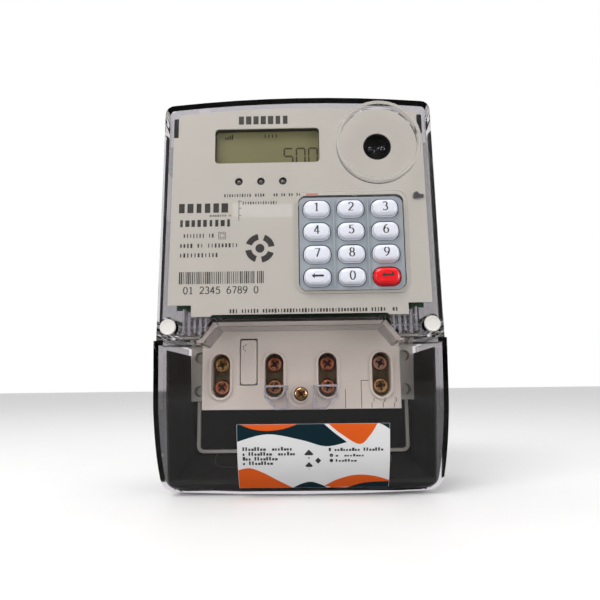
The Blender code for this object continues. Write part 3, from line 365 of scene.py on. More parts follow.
# ---- digits ------------------------------------------------------------------
def digit_strokes(symbol):
    """Strokes of a digit one unit high, its middle at x = 0 and its foot at z = 0."""
    ring = lambda cx, cz, rx, rz: arc((cx, cz), (rx, rz), 90, 430, 20)
    shapes = {
        "0": [ring(0, 0.5, 0.27, 0.5)],
        "1": [[(-0.18, 0.86), (0.02, 0.98)], [(0.02, 1.0), (0.02, 0.0)], [(-0.16, 0.02), (0.20, 0.02)]],
        "2": [arc((0, 0.72), (0.25, 0.28), 165, -35, 12) + [(-0.27, 0.03)], [(-0.28, 0.04), (0.29, 0.04)]],
        "3": [arc((-0.02, 0.75), (0.22, 0.25), 150, -85, 12), arc((-0.02, 0.26), (0.27, 0.26), 85, -150, 14)],
        "4": [[(0.10, 1.0), (-0.30, 0.28)], [(-0.32, 0.28), (0.31, 0.28)], [(0.10, 1.0), (0.10, 0.0)]],
        "5": [[(-0.17, 0.96), (0.24, 0.96)], [(-0.16, 0.97), (-0.20, 0.56)],
              arc((-0.03, 0.32), (0.28, 0.32), 128, -150, 16)],
        "6": [ring(0, 0.30, 0.26, 0.30), arc((0.25, 0.30), (0.51, 0.70), 180, 98, 10)],
        "7": [[(-0.27, 0.96), (0.28, 0.96)], [(0.27, 0.97), (-0.06, 0.0)]],
        "8": [ring(0, 0.76, 0.21, 0.24), ring(0, 0.27, 0.26, 0.27)],
        "9": [ring(0, 0.70, 0.26, 0.30), arc((-0.25, 0.70), (0.51, 0.70), 0, -82, 10)],
    }
    return shapes[symbol]


def write_digits(bm, text, start, height, pitch, depth_at, thickness, thick=0.16, thin=0.06, step=None):
    """Add printed digits in a row from their left foot."""
    for k, symbol in enumerate(text):
        if symbol == " ":
            continue
        for path in digit_strokes(symbol):
            placed = [(start[0] + pitch * k + x * height, start[1] + z * height) for x, z in path]
            for quad in stroke(placed, thick * height, thin * height):
                ink_sheet(bm, quad, depth_at, thickness, step)
    return bm


SEGMENTS = {"0": "abcdef", "5": "acdfg", "8": "abcdefg"}


def segment_outlines(symbol, left, foot, width, height, bar):
    """Outlines of the bars of one seven-segment digit."""
    middle = foot + height / 2
    top = foot + height
    right = left + width
    gap = bar * 0.25

    def across(z):
        a, b = left + gap, right - gap
        return [(a, z), (a + bar / 2, z - bar / 2), (b - bar / 2, z - bar / 2), (b, z),
                (b - bar / 2, z + bar / 2), (a + bar / 2, z + bar / 2)]

    def upright(x, low, high):
        a, b = low + gap, high - gap
        return [(x, a), (x + bar / 2, a + bar / 2), (x + bar / 2, b - bar / 2), (x, b),
                (x - bar / 2, b - bar / 2), (x - bar / 2, a + bar / 2)]

    bars = {
        "a": across(top), "b": upright(right, middle, top), "c": upright(right, foot, middle),
        "d": across(foot), "e": upright(left, foot, middle), "f": upright(left, middle, top),
        "g": across(middle),
    }
    return [bars[letter] for letter in SEGMENTS[symbol]]


# ---- node helpers ------------------------------------------------------------
def put(tree, kind, values=None, **settings):
    """Add a node, set its fields, and give its inputs values or other nodes' outputs."""
    node = tree.nodes.new(kind)
    for field, setting in settings.items():
        setattr(node, field, setting)
    for socket, value in (values or {}).items():
        if isinstance(value, bpy.types.NodeSocket):
            tree.links.new(value, node.inputs[socket])
        else:
            node.inputs[socket].default_value = value
    return node


def math(tree, operation, *values):
    return put(tree, "ShaderNodeMath", dict(enumerate(values)), operation=operation).outputs[0]


def new_group(name, kind, inputs, outputs):
    """An empty node group with named sockets, and its input and output nodes."""
    tree = bpy.data.node_groups.new(name, kind)
    for label, socket_type, default in inputs:
        socket = tree.interface.new_socket(label, in_out="INPUT", socket_type=socket_type)
        if default is not None:
            socket.default_value = default
    for label, socket_type in outputs:
        tree.interface.new_socket(label, in_out="OUTPUT", socket_type=socket_type)
    return tree, tree.nodes.new("NodeGroupInput").outputs, tree.nodes.new("NodeGroupOutput")


# ---- shader groups -----------------------------------------------------------
SURFACE_OUTPUTS = [("Colour", "NodeSocketColor"), ("Roughness", "NodeSocketFloat"),
                   ("Normal", "NodeSocketVector")]


def build_moulded(name):
    """Colour, roughness and normal of a moulding: cloudy shade, fine grain, worn edges and dust."""
    inputs = [
        ("Colour", "NodeSocketColor", (0.5, 0.5, 0.5, 1)), ("Shade Change", "NodeSocketFloat", 0.06),
        ("Roughness", "NodeSocketFloat", 0.45), ("Roughness Change", "NodeSocketFloat", 0.12),
        ("Grain Scale", "NodeSocketFloat", 2500.0), ("Grain Height", "NodeSocketFloat", 0.15),
        ("Edge Wear", "NodeSocketFloat", 0.15), ("Dust", "NodeSocketFloat", 0.1),
    ]
    outputs = SURFACE_OUTPUTS
    tree, given, result = new_group(name, "ShaderNodeTree", inputs, outputs)
    place = put(tree, "ShaderNodeTexCoord").outputs["Object"]
    cloud = put(tree, "ShaderNodeTexNoise", {"Vector": place, "Scale": 45.0, "Detail": 5.0}).outputs[0]
    fine = put(tree, "ShaderNodeTexNoise",
               {"Vector": place, "Scale": given["Grain Scale"], "Detail": 2.0}).outputs[0]
    swing = math(tree, "MULTIPLY", math(tree, "SUBTRACT", cloud, 0.5), given["Shade Change"])
    factor = math(tree, "ADD", 1.0, math(tree, "MULTIPLY", swing, 4.0))
    shaded = put(tree, "ShaderNodeVectorMath", {0: given["Colour"], 1: factor},
                 operation="MULTIPLY").outputs[0]
    geometry = put(tree, "ShaderNodeNewGeometry")
    ridge = put(tree, "ShaderNodeMapRange",
                {"Value": geometry.outputs["Pointiness"], "From Min": 0.53, "From Max": 0.62}).outputs[0]
    worn = math(tree, "MULTIPLY", math(tree, "MULTIPLY", ridge, cloud), given["Edge Wear"])
    pale = put(tree, "ShaderNodeMix", {0: worn, 6: shaded, 7: (0.85, 0.83, 0.8, 1)},
               data_type="RGBA").outputs[2]
    up = put(tree, "ShaderNodeSeparateXYZ", {0: geometry.outputs["Normal"]}).outputs[2]
    upward = put(tree, "ShaderNodeMapRange", {"Value": up, "From Min": 0.3, "From Max": 1.0}).outputs[0]
    settled = math(tree, "MULTIPLY", math(tree, "MULTIPLY", upward, cloud), given["Dust"])
    dusty = put(tree, "ShaderNodeMix", {0: settled, 6: pale, 7: (0.42, 0.40, 0.36, 1)},
                data_type="RGBA").outputs[2]
    rough = math(tree, "ADD", given["Roughness"],
                 math(tree, "MULTIPLY", math(tree, "SUBTRACT", cloud, 0.5), given["Roughness Change"]))
    rough = math(tree, "ADD", rough, math(tree, "MULTIPLY", settled, 0.4))
    bump = put(tree, "ShaderNodeBump",
               {"Strength": given["Grain Height"], "Distance": 0.0001, "Height": fine})
    tree.links.new(dusty, result.inputs["Colour"])
    tree.links.new(rough, result.inputs["Roughness"])
    tree.links.new(bump.outputs[0], result.inputs["Normal"])
    return tree


def build_plated(name):
    """Colour, roughness and normal of plated metal: two tones in clouds, streaks, fine marks, and painted
    shade in a screw head's recess.
    """
    inputs = [
        ("Tone", "NodeSocketColor", (0.6, 0.6, 0.6, 1)),
        ("Other Tone", "NodeSocketColor", (0.5, 0.4, 0.3, 1)),
        ("Cloud Scale", "NodeSocketFloat", 260.0), ("Roughness", "NodeSocketFloat", 0.3),
        ("Mark Height", "NodeSocketFloat", 0.2), ("Head Depth", "NodeSocketFloat", 0.0),
        ("Recess Shade", "NodeSocketFloat", 0.0),
    ]
    outputs = SURFACE_OUTPUTS
    tree, given, result = new_group(name, "ShaderNodeTree", inputs, outputs)
    place = put(tree, "ShaderNodeTexCoord").outputs["Object"]
    cloud = put(tree, "ShaderNodeTexNoise",
                {"Vector": place, "Scale": given["Cloud Scale"], "Detail": 4.0}).outputs[0]
    share = put(tree, "ShaderNodeMapRange", {"Value": cloud, "From Min": 0.38, "From Max": 0.62}).outputs[0]
    tone = put(tree, "ShaderNodeMix", {0: share, 6: given["Tone"], 7: given["Other Tone"]}, data_type="RGBA")
    stretch = put(tree, "ShaderNodeMapping", {"Vector": place, "Scale": (900.0, 900.0, 6000.0)}).outputs[0]
    marks = put(tree, "ShaderNodeTexNoise", {"Vector": stretch, "Scale": 1.0, "Detail": 3.0}).outputs[0]
    rough = math(tree, "ADD", given["Roughness"],
                 math(tree, "MULTIPLY", math(tree, "SUBTRACT", marks, 0.5), 0.25))
    bump = put(tree, "ShaderNodeBump",
               {"Strength": given["Mark Height"], "Distance": 0.00005, "Height": marks})
    # Painted shade: behind the head's front, the cross recess and what lies deeper darken towards a dark
    # brown.
    sunk = math(tree, "ADD", put(tree, "ShaderNodeSeparateXYZ", {0: place}).outputs[1], given["Head Depth"])
    inside = put(tree, "ShaderNodeMapRange",
                 {"Value": sunk, "From Min": 0.00035, "From Max": 0.0009}).outputs[0]
    inside = math(tree, "MULTIPLY", inside, given["Recess Shade"])
    recess_painted_shade = put(tree, "ShaderNodeMix", {0: inside, 6: tone.outputs[2], 7: (0.05, 0.018, 0.01, 1)},
                data_type="RGBA").outputs[2]
    tree.links.new(recess_painted_shade, result.inputs["Colour"])
    tree.links.new(rough, result.inputs["Roughness"])
    tree.links.new(bump.outputs[0], result.inputs["Normal"])
    return tree


def build_handled(name):
    """Tint, roughness and normal of handled clear plastic: faint smears and a slight ripple."""
    inputs = [
        ("Tint", "NodeSocketColor", (1, 1, 1, 1)), ("Roughness", "NodeSocketFloat", 0.03),
        ("Smears", "NodeSocketFloat", 0.05), ("Ripple", "NodeSocketFloat", 0.05),
    ]
    outputs = SURFACE_OUTPUTS
    tree, given, result = new_group(name, "ShaderNodeTree", inputs, outputs)
    place = put(tree, "ShaderNodeTexCoord").outputs["Object"]
    turned = put(tree, "ShaderNodeMapping",
                 {"Vector": place, "Rotation": (0.0, 0.6, 0.0), "Scale": (18.0, 18.0, 70.0)}).outputs[0]
    smear = put(tree, "ShaderNodeTexNoise", {"Vector": turned, "Scale": 1.0, "Detail": 6.0}).outputs[0]
    patch = put(tree, "ShaderNodeMapRange", {"Value": smear, "From Min": 0.5, "From Max": 0.75}).outputs[0]
    rough = math(tree, "ADD", given["Roughness"], math(tree, "MULTIPLY", patch, given["Smears"]))
    wave = put(tree, "ShaderNodeTexNoise", {"Vector": place, "Scale": 60.0, "Detail": 1.0}).outputs[0]
    bump = put(tree, "ShaderNodeBump", {"Strength": given["Ripple"], "Distance": 0.001, "Height": wave})
    dulled = put(tree, "ShaderNodeMix", {0: math(tree, "MULTIPLY", patch, 0.04), 6: given["Tint"],
                                         7: (0.8, 0.8, 0.8, 1)}, data_type="RGBA").outputs[2]
    tree.links.new(dulled, result.inputs["Colour"])
    tree.links.new(rough, result.inputs["Roughness"])
    tree.links.new(bump.outputs[0], result.inputs["Normal"])
    return tree


SURFACES = {}


def surface_group(name):
    builders = {"moulded_surface": build_moulded, "plated_surface": build_plated,
                "handled_surface": build_handled}
    if name not in SURFACES:
        SURFACES[name] = builders[name](name)
    return SURFACES[name]


# ---- finishes ----------------------------------------------------------------
FINISHES = {}


def finish(name, build):
    """A material that is made once and then used again."""
    if name not in FINISHES:
        FINISHES[name] = build(name)
    return FINISHES[name]


def based_on(name, group, values, **shader_values):
    """A material whose colour, roughness and normal come from a surface group."""
    material = bpy.data.materials.new(name)
    material.use_nodes = True
    tree = material.node_tree
    shader = tree.nodes["Principled BSDF"]
    surface = put(tree, "ShaderNodeGroup", node_tree=surface_group(group))
    for label, value in values.items():
        surface.inputs[label].default_value = value
    tree.links.new(surface.outputs["Colour"], shader.inputs["Base Color"])
    tree.links.new(surface.outputs["Roughness"], shader.inputs["Roughness"])
    tree.links.new(surface.outputs["Normal"], shader.inputs["Normal"])
    for label, value in shader_values.items():
        shader.inputs[label.replace("_", " ").title().replace("Ior", "IOR")].default_value = value
    return material


def moulding(name, tone, roughness=0.45, shade_change=0.05, grain=(2500.0, 0.15), wear=0.12, dust=0.1,
             **more):
    values = {
        "Colour": (*tone, 1), "Shade Change": shade_change, "Roughness": roughness,
        "Grain Scale": grain[0], "Grain Height": grain[1], "Edge Wear": wear, "Dust": dust,
    }
    return finish(name, lambda label: based_on(label, "moulded_surface", values, **more))


def plating(name, tone, other, roughness=0.28, marks=0.2, cloud=260.0, recess=(0.0, 0.0)):
    values = {"Tone": (*tone, 1), "Other Tone": (*other, 1), "Roughness": roughness,
              "Mark Height": marks, "Cloud Scale": cloud, "Head Depth": recess[0], "Recess Shade": recess[1]}
    return finish(name, lambda label: based_on(label, "plated_surface", values, metallic=1.0))


def build_clear(name):
    """Clear moulding that bends what is seen through it and lets the lamps reach what it covers."""
    tint = (*bpy.context.scene.meter_colours.tint, 1)
    material = based_on(name, "handled_surface",
                        {"Tint": tint, "Roughness": 0.02, "Smears": 0.05, "Ripple": 0.0015})
    tree = material.node_tree
    shader = tree.nodes["Principled BSDF"]
    shader.inputs["Transmission Weight"].default_value = 1.0
    shader.inputs["IOR"].default_value = 1.5
    surface = next(n for n in tree.nodes if n.type == "GROUP")
    # Darker tint where the cover is seen edge-on: partly the deeper tint of the longer path through the wall,
    # partly painted shade for the dark rims.
    edge_on = put(tree, "ShaderNodeLayerWeight", {"Blend": 0.22}).outputs["Facing"]
    rim_tint_and_painted_shade = put(tree, "ShaderNodeMix", {0: edge_on, 6: surface.outputs["Colour"], 7: (0.36, 0.35, 0.37, 1)},
                 data_type="RGBA").outputs[2]
    tree.links.new(rim_tint_and_painted_shade, shader.inputs["Base Color"])
    path = put(tree, "ShaderNodeLightPath").outputs
    passing = math(tree, "MAXIMUM", path["Is Shadow Ray"], path["Is Diffuse Ray"])
    through = put(tree, "ShaderNodeBsdfTransparent", {"Color": (0.93, 0.925, 0.935, 1)})
    mixed = put(tree, "ShaderNodeMixShader", {0: passing, 1: shader.outputs[0], 2: through.outputs[0]})
    tree.links.new(mixed.outputs[0], tree.nodes["Material Output"].inputs["Surface"])
    return material


def clear_plastic():
    return finish("clear_polycarbonate", build_clear)


def build_frosted(name):
    """Clear moulding with a textured skin, for ribs and frames inside the covers."""
    material = based_on(name, "handled_surface", {"Tint": (0.93, 0.91, 0.95, 1), "Roughness": 0.24,
                                                  "Smears": 0.1, "Ripple": 0.05})
    shader = material.node_tree.nodes["Principled BSDF"]
    shader.inputs["Transmission Weight"].default_value = 0.75
    shader.inputs["IOR"].default_value = 1.45
    return material


def frosted_plastic():
    return finish("frosted_polycarbonate", build_frosted)


def tones():
    return bpy.context.scene.meter_colours


def sizes():
    return bpy.context.scene.meter_sizes


def case_plastic():
    return moulding("light_grey_case", tones().case, 0.42, grain=(3200.0, 0.12), wear=0.25)


def block_plastic():
    return moulding("warm_grey_block", tones().block, 0.4, grain=(3000.0, 0.1), wear=0.35, shade_change=0.04)


def black_plastic():
    return moulding("black_tray", (0.006, 0.006, 0.005), 0.5, grain=(2600.0, 0.2), wear=0.02, dust=0.04,
                    specular_ior_level=0.3)


def rubber():
    return moulding("gasket_rubber", (0.02, 0.02, 0.021), 0.75, grain=(5000.0, 0.3), wear=0.02)


def seal_plastic():
    return moulding("seal_plug_white", (0.72, 0.70, 0.67), 0.45, grain=(2500.0, 0.2), wear=0.1)


def plate_finish():
    return moulding("nameplate_sheet", tones().plate, 0.38, shade_change=0.02, grain=(6000.0, 0.04), wear=0.0)


def ink():
    return moulding("printed_ink", tones().ink, 0.5, shade_change=0.1, grain=(9000.0, 0.05), wear=0.0,
                    dust=0.0)


def printed(name, tone, roughness=0.4):
    return moulding(name, tone, roughness, shade_change=0.03, grain=(9000.0, 0.04), wear=0.0, dust=0.0,
                    specular_ior_level=0.3)


def silicone():
    return moulding("blue_grey_silicone", tones().mat, 0.5, grain=(4500.0, 0.15), wear=0.08)


def white_key_plastic():
    return moulding("white_key_cap", tones().white_key, 0.24, shade_change=0.02, grain=(5000.0, 0.04),
                    wear=0.15, dust=0.03, subsurface_weight=0.0, coat_weight=0.3)


def red_key_plastic():
    return moulding("red_key_cap", tones().red_key, 0.24, shade_change=0.03, grain=(5000.0, 0.04),
                    wear=0.05, dust=0.02, coat_weight=0.3)


def component_plastic():
    return moulding("component_black", (0.018, 0.018, 0.02), 0.4, grain=(4000.0, 0.25), wear=0.08)


def zinc():
    return plating("zinc_plated_steel", (0.62, 0.63, 0.64), (0.50, 0.51, 0.53), 0.32)


def brass():
    return plating("drawn_brass", (0.50, 0.42, 0.27), (0.38, 0.30, 0.18), 0.55)


def copper():
    return plating("bare_copper", (0.78, 0.36, 0.20), (0.62, 0.27, 0.15), 0.3)


def tinned():
    return plating("tinned_wire", (0.70, 0.70, 0.70), (0.58, 0.58, 0.60), 0.25)


SCREW_TONES = {
    "gold": ((0.86, 0.56, 0.24), (0.70, 0.38, 0.17)),
    "copper": ((0.80, 0.25, 0.13), (0.86, 0.44, 0.30)),
    "bronze": ((0.72, 0.33, 0.17), (0.62, 0.42, 0.20)),
    "rose": ((0.88, 0.46, 0.34), (0.90, 0.60, 0.44)),
}
CLAMP_TONES = {
    "1_upper": "gold", "1_lower": "copper", "2_upper": "copper", "2_lower": "bronze",
    "3_upper": "copper", "3_lower": "copper", "4_upper": "rose", "4_lower": "gold",
}


def passivated(tone, head_depth):
    label = "passivated_%s_%d" % (tone, round(head_depth / MM))
    # The recess setting paints shade into each screw's cross recess.
    return plating(label, *SCREW_TONES[tone], roughness=0.22, marks=0.25, cloud=420.0,
                   recess=(head_depth, 0.7))


def build_board(name):
    """Green solder mask with tracks showing through it as raised, paler lines."""
    material = based_on(name, "moulded_surface", {"Colour": (0.008, 0.038, 0.018, 1), "Roughness": 0.32,
                                                  "Shade Change": 0.05, "Edge Wear": 0.05})
    tree = material.node_tree
    surface = next(n for n in tree.nodes if n.type == "GROUP")
    shader = tree.nodes["Principled BSDF"]
    place = put(tree, "ShaderNodeTexCoord").outputs["Object"]
    cells = put(tree, "ShaderNodeTexVoronoi", {"Vector": place, "Scale": 170.0},
                distance="MANHATTAN", feature="F1").outputs["Distance"]
    rings = math(tree, "FRACT", math(tree, "MULTIPLY", cells, 3.0))
    track = math(tree, "GREATER_THAN", rings, 0.62)
    lit = put(tree, "ShaderNodeMix", {0: math(tree, "MULTIPLY", track, 0.6), 6: surface.outputs["Colour"],
                                      7: (0.02, 0.075, 0.035, 1)}, data_type="RGBA").outputs[2]
    raised = put(tree, "ShaderNodeBump", {"Strength": 0.3, "Distance": 0.0001, "Height": track,
                                          "Normal": surface.outputs["Normal"]})
    tree.links.new(lit, shader.inputs["Base Color"])
    tree.links.new(raised.outputs[0], shader.inputs["Normal"])
    return material


def board_finish():
    return finish("solder_mask_green", build_board)


def build_display(name):
    """Olive display with a soft cloudy change of shade, under glossy glass."""
    return based_on(name, "moulded_surface",
                    {"Colour": (*tones().display, 1), "Roughness": 0.3, "Shade Change": 0.05,
                     "Grain Scale": 7000.0, "Grain Height": 0.02, "Edge Wear": 0.0, "Dust": 0.0},
                    coat_weight=0.6, coat_roughness=0.05)


def display_finish():
    return finish("olive_display", build_display)


def lamp_finish():
    return moulding("smoked_lamp", (0.10, 0.10, 0.095), 0.15, grain=(3000.0, 0.02), wear=0.3, coat_weight=0.6)


def diode_finish():
    return moulding("infrared_diode", (0.012, 0.010, 0.016), 0.08, grain=(3000.0, 0.01), wear=0.1,
                    coat_weight=1.0)


# ---- geometry node trees -----------------------------------------------------
def build_screw_tree(name):
    """A pan-head screw with a cross recess: its head's top at the origin, pointing up Z."""
    inputs = [
        ("Geometry", "NodeSocketGeometry", None), ("Head Radius", "NodeSocketFloat", 0.004),
        ("Head Height", "NodeSocketFloat", 0.0028), ("Shank Radius", "NodeSocketFloat", 0.002),
        ("Thread Pitch", "NodeSocketFloat", 0.0009), ("Turns", "NodeSocketInt", 10),
        ("Recess Angle", "NodeSocketFloat", 0.0), ("Finish", "NodeSocketMaterial", None),
    ]
    tree, given, result = new_group(name, "GeometryNodeTree", inputs, [("Geometry", "NodeSocketGeometry")])
    head, tall, shank = given["Head Radius"], given["Head Height"], given["Shank Radius"]
    profile = ((0.0, 0.46), (0.05, 0.66), (0.16, 0.84), (0.34, 0.96), (0.52, 1.0), (0.94, 1.0), (1.0, 0.93))
    last = len(profile)
    index = put(tree, "GeometryNodeInputIndex").outputs[0]
    beyond = math(tree, "GREATER_THAN", index, last - 0.5)
    heights = put(tree, "GeometryNodeIndexSwitch", {"Index": index}, data_type="FLOAT")
    radii = put(tree, "GeometryNodeIndexSwitch", {"Index": index}, data_type="FLOAT")
    for node in (heights, radii):
        while len(node.index_switch_items) < last:
            node.index_switch_items.new()
    for k, (drop, share) in enumerate(profile):
        heights.inputs[k + 1].default_value = drop
        radii.inputs[k + 1].default_value = share
    thread = math(tree, "SUBTRACT", index, float(last))
    step = math(tree, "MULTIPLY", thread, math(tree, "MULTIPLY", given["Thread Pitch"], 0.5))
    head_z = math(tree, "MULTIPLY", heights.outputs[0], tall)
    shank_z = math(tree, "ADD", math(tree, "MULTIPLY", tall, 1.001), step)
    crest = math(tree, "ADD", 0.82, math(tree, "MULTIPLY", math(tree, "MODULO", thread, 2.0), 0.18))
    z = put(tree, "ShaderNodeMix", {0: beyond, 2: head_z, 3: shank_z}, data_type="FLOAT").outputs[0]
    shank_r = math(tree, "MULTIPLY", shank, crest)
    head_r = math(tree, "MULTIPLY", radii.outputs[0], head)
    radius = put(tree, "ShaderNodeMix", {0: beyond, 2: head_r, 3: shank_r}, data_type="FLOAT").outputs[0]
    count = math(tree, "ADD", float(last + 1), math(tree, "MULTIPLY", given["Turns"], 2.0))
    line = put(tree, "GeometryNodeMeshLine", {"Count": count, "Offset": (0, 0, -MM)})
    down = put(tree, "ShaderNodeCombineXYZ", {"Z": math(tree, "MULTIPLY", z, -1.0)}).outputs[0]
    placed = put(tree, "GeometryNodeSetPosition", {"Geometry": line.outputs[0], "Position": down})
    spine = put(tree, "GeometryNodeMeshToCurve", {0: placed.outputs[0]})
    sized = put(tree, "GeometryNodeSetCurveRadius", {"Curve": spine.outputs[0], "Radius": radius})
    ring = put(tree, "GeometryNodeCurvePrimitiveCircle", {"Resolution": 36, "Radius": 1.0})
    skin = put(tree, "GeometryNodeCurveToMesh", {"Curve": sized.outputs[0], "Profile Curve": ring.outputs[0],
                                                 "Fill Caps": True})
    if "Scale" in skin.inputs:
        tree.links.new(put(tree, "GeometryNodeInputRadius").outputs[0], skin.inputs["Scale"])
    long, wide = math(tree, "MULTIPLY", head, 1.22), math(tree, "MULTIPLY", head, 0.25)
    deep = math(tree, "MULTIPLY", tall, 1.1)
    size = put(tree, "ShaderNodeCombineXYZ", {"X": long, "Y": wide, "Z": deep}).outputs[0]
    cutters = put(tree, "GeometryNodeJoinGeometry")
    for quarter in (0.0, pi / 2):
        bar = put(tree, "GeometryNodeMeshCube", {"Size": size})
        angle = math(tree, "ADD", given["Recess Angle"], quarter)
        turn = put(tree, "ShaderNodeCombineXYZ", {"Z": angle}).outputs[0]
        spun = put(tree, "GeometryNodeTransform", {"Geometry": bar.outputs[0], "Rotation": turn})
        tree.links.new(spun.outputs[0], cutters.inputs[0])
    cone = put(tree, "GeometryNodeMeshCone", {
        "Vertices": 16, "Radius Top": math(tree, "MULTIPLY", head, 0.36),
        "Radius Bottom": math(tree, "MULTIPLY", head, 0.08), "Depth": deep})
    sink = put(tree, "ShaderNodeCombineXYZ", {"Z": math(tree, "MULTIPLY", tall, -0.85)}).outputs[0]
    pit = put(tree, "GeometryNodeTransform", {"Geometry": cone.outputs[0], "Translation": sink})
    tree.links.new(pit.outputs[0], cutters.inputs[0])
    carved = put(tree, "GeometryNodeMeshBoolean", {"Mesh 1": skin.outputs[0], "Mesh 2": cutters.outputs[0],
                                                   "Self Intersection": True},
                 operation="DIFFERENCE", solver="EXACT")
    real = put(tree, "GeometryNodeRealizeInstances", {0: carved.outputs[0]})
    done = put(tree, "GeometryNodeSetMaterial", {"Geometry": real.outputs[0], "Material": given["Finish"]})
    tree.links.new(done.outputs[0], result.inputs[0])
    return tree


def build_marks_tree(name):
    """A row of upright marks along X with uneven widths and gaps, like lines of print or ribs."""
    inputs = [
        ("Geometry", "NodeSocketGeometry", None), ("Count", "NodeSocketInt", 20),
        ("Pitch", "NodeSocketFloat", 0.001), ("Height", "NodeSocketFloat", 0.002),
        ("Height Change", "NodeSocketFloat", 0.0), ("Thinnest", "NodeSocketFloat", 0.0003),
        ("Thickest", "NodeSocketFloat", 0.0008), ("Gap Share", "NodeSocketFloat", 0.0),
        ("Thickness", "NodeSocketFloat", 0.00003), ("Seed", "NodeSocketInt", 1),
        ("Finish", "NodeSocketMaterial", None),
    ]
    tree, given, result = new_group(name, "GeometryNodeTree", inputs, [("Geometry", "NodeSocketGeometry")])
    step = put(tree, "ShaderNodeCombineXYZ", {"X": given["Pitch"]}).outputs[0]
    row = put(tree, "GeometryNodeMeshLine", {"Count": given["Count"], "Offset": step})
    chance = put(tree, "FunctionNodeRandomValue", {2: 0.0, 3: 1.0, "Seed": given["Seed"]}, data_type="FLOAT")
    gone = math(tree, "LESS_THAN", chance.outputs[1], given["Gap Share"])
    kept = put(tree, "GeometryNodeDeleteGeometry", {"Geometry": row.outputs[0], "Selection": gone})
    other_seed = math(tree, "ADD", given["Seed"], 7.0)
    width = put(tree, "FunctionNodeRandomValue", {
        2: given["Thinnest"], 3: given["Thickest"], "Seed": other_seed}, data_type="FLOAT").outputs[1]
    drop = put(tree, "FunctionNodeRandomValue", {2: 0.0, 3: given["Height Change"],
                                                 "Seed": math(tree, "ADD", given["Seed"], 13.0)},
               data_type="FLOAT").outputs[1]
    tall = math(tree, "MULTIPLY", given["Height"], math(tree, "SUBTRACT", 1.0, drop))
    size = put(tree, "ShaderNodeCombineXYZ", {"X": width, "Y": given["Thickness"], "Z": tall}).outputs[0]
    cube = put(tree, "GeometryNodeMeshCube", {"Size": (1, 1, 1)})
    bars = put(tree, "GeometryNodeInstanceOnPoints", {"Points": kept.outputs[0], "Instance": cube.outputs[0],
                                                      "Scale": size})
    real = put(tree, "GeometryNodeRealizeInstances", {0: bars.outputs[0]})
    done = put(tree, "GeometryNodeSetMaterial", {"Geometry": real.outputs[0], "Material": given["Finish"]})
    tree.links.new(done.outputs[0], result.inputs[0])
    return tree


def build_parts_tree(name):
    """Small boxes spread over a board on an uneven grid in X and Z."""
    inputs = [
        ("Geometry", "NodeSocketGeometry", None), ("Width", "NodeSocketFloat", 0.1),
        ("Height", "NodeSocketFloat", 0.08), ("Columns", "NodeSocketInt", 12), ("Rows", "NodeSocketInt", 9),
        ("Kept Share", "NodeSocketFloat", 0.6), ("Smallest", "NodeSocketVector", (0.0012, 0.0006, 0.0008)),
        ("Largest", "NodeSocketVector", (0.003, 0.0012, 0.0025)), ("Scatter", "NodeSocketFloat", 0.002),
        ("Seed", "NodeSocketInt", 1), ("Finish", "NodeSocketMaterial", None),
    ]
    tree, given, result = new_group(name, "GeometryNodeTree", inputs, [("Geometry", "NodeSocketGeometry")])
    grid = put(tree, "GeometryNodeMeshGrid", {"Size X": given["Width"], "Size Y": given["Height"],
                                              "Vertices X": given["Columns"], "Vertices Y": given["Rows"]})
    upright = put(tree, "GeometryNodeTransform", {"Geometry": grid.outputs[0], "Rotation": (pi / 2, 0, 0)})
    chance = put(tree, "FunctionNodeRandomValue", {2: 0.0, 3: 1.0, "Seed": given["Seed"]}, data_type="FLOAT")
    gone = math(tree, "GREATER_THAN", chance.outputs[1], given["Kept Share"])
    kept = put(tree, "GeometryNodeDeleteGeometry", {"Geometry": upright.outputs[0], "Selection": gone})
    reach = put(tree, "ShaderNodeCombineXYZ", {"X": given["Scatter"], "Z": given["Scatter"]}).outputs[0]
    back = put(tree, "ShaderNodeVectorMath", {0: reach, 1: (-1, -1, -1)}, operation="MULTIPLY").outputs[0]
    seeds = [math(tree, "ADD", given["Seed"], float(extra)) for extra in (5, 11)]
    shift = put(tree, "FunctionNodeRandomValue", {0: back, 1: reach, "Seed": seeds[0]},
                data_type="FLOAT_VECTOR").outputs[0]
    moved = put(tree, "GeometryNodeSetPosition", {"Geometry": kept.outputs[0], "Offset": shift})
    size = put(tree, "FunctionNodeRandomValue", {0: given["Smallest"], 1: given["Largest"], "Seed": seeds[1]},
               data_type="FLOAT_VECTOR").outputs[0]
    cube = put(tree, "GeometryNodeMeshCube", {"Size": (1, 1, 1)})
    boxes = put(tree, "GeometryNodeInstanceOnPoints", {
        "Points": moved.outputs[0], "Instance": cube.outputs[0], "Scale": size})
    real = put(tree, "GeometryNodeRealizeInstances", {0: boxes.outputs[0]})
    done = put(tree, "GeometryNodeSetMaterial", {"Geometry": real.outputs[0], "Material": given["Finish"]})
    tree.links.new(done.outputs[0], result.inputs[0])
    return tree


TREES = {}


def growing_tree(name):
    builders = {"cross_head_screw": build_screw_tree, "row_of_marks": build_marks_tree,
                "board_parts": build_parts_tree}
    if name not in TREES:
        TREES[name] = builders[name](name)
    return TREES[name]


def grown(tree_name, label, values, place=None, smooth=35.0):
    """What a geometry node tree makes with these inputs, as a plain mesh in its place."""
    tree = growing_tree(tree_name)
    host = bpy.data.objects.new(label + "_host", bpy.data.meshes.new(label + "_host"))
    bpy.context.scene.collection.objects.link(host)
    modifier = host.modifiers.new("grow", "NODES")
    modifier.node_group = tree
    for socket in tree.interface.items_tree:
        if socket.in_out == "INPUT" and socket.name in values:
            modifier[socket.identifier] = values[socket.name]
    mesh = bpy.data.meshes.new_from_object(host.evaluated_get(bpy.context.evaluated_depsgraph_get()))
    host.modifiers.remove(modifier)
    bpy.data.objects.remove(host)
    if not mesh.polygons:
        raise RuntimeError("the tree %s made nothing for %s" % (tree_name, label))
    mesh.name = label
    if place is not None:
        mesh.transform(place)
    shade(mesh, smooth)
    return mesh


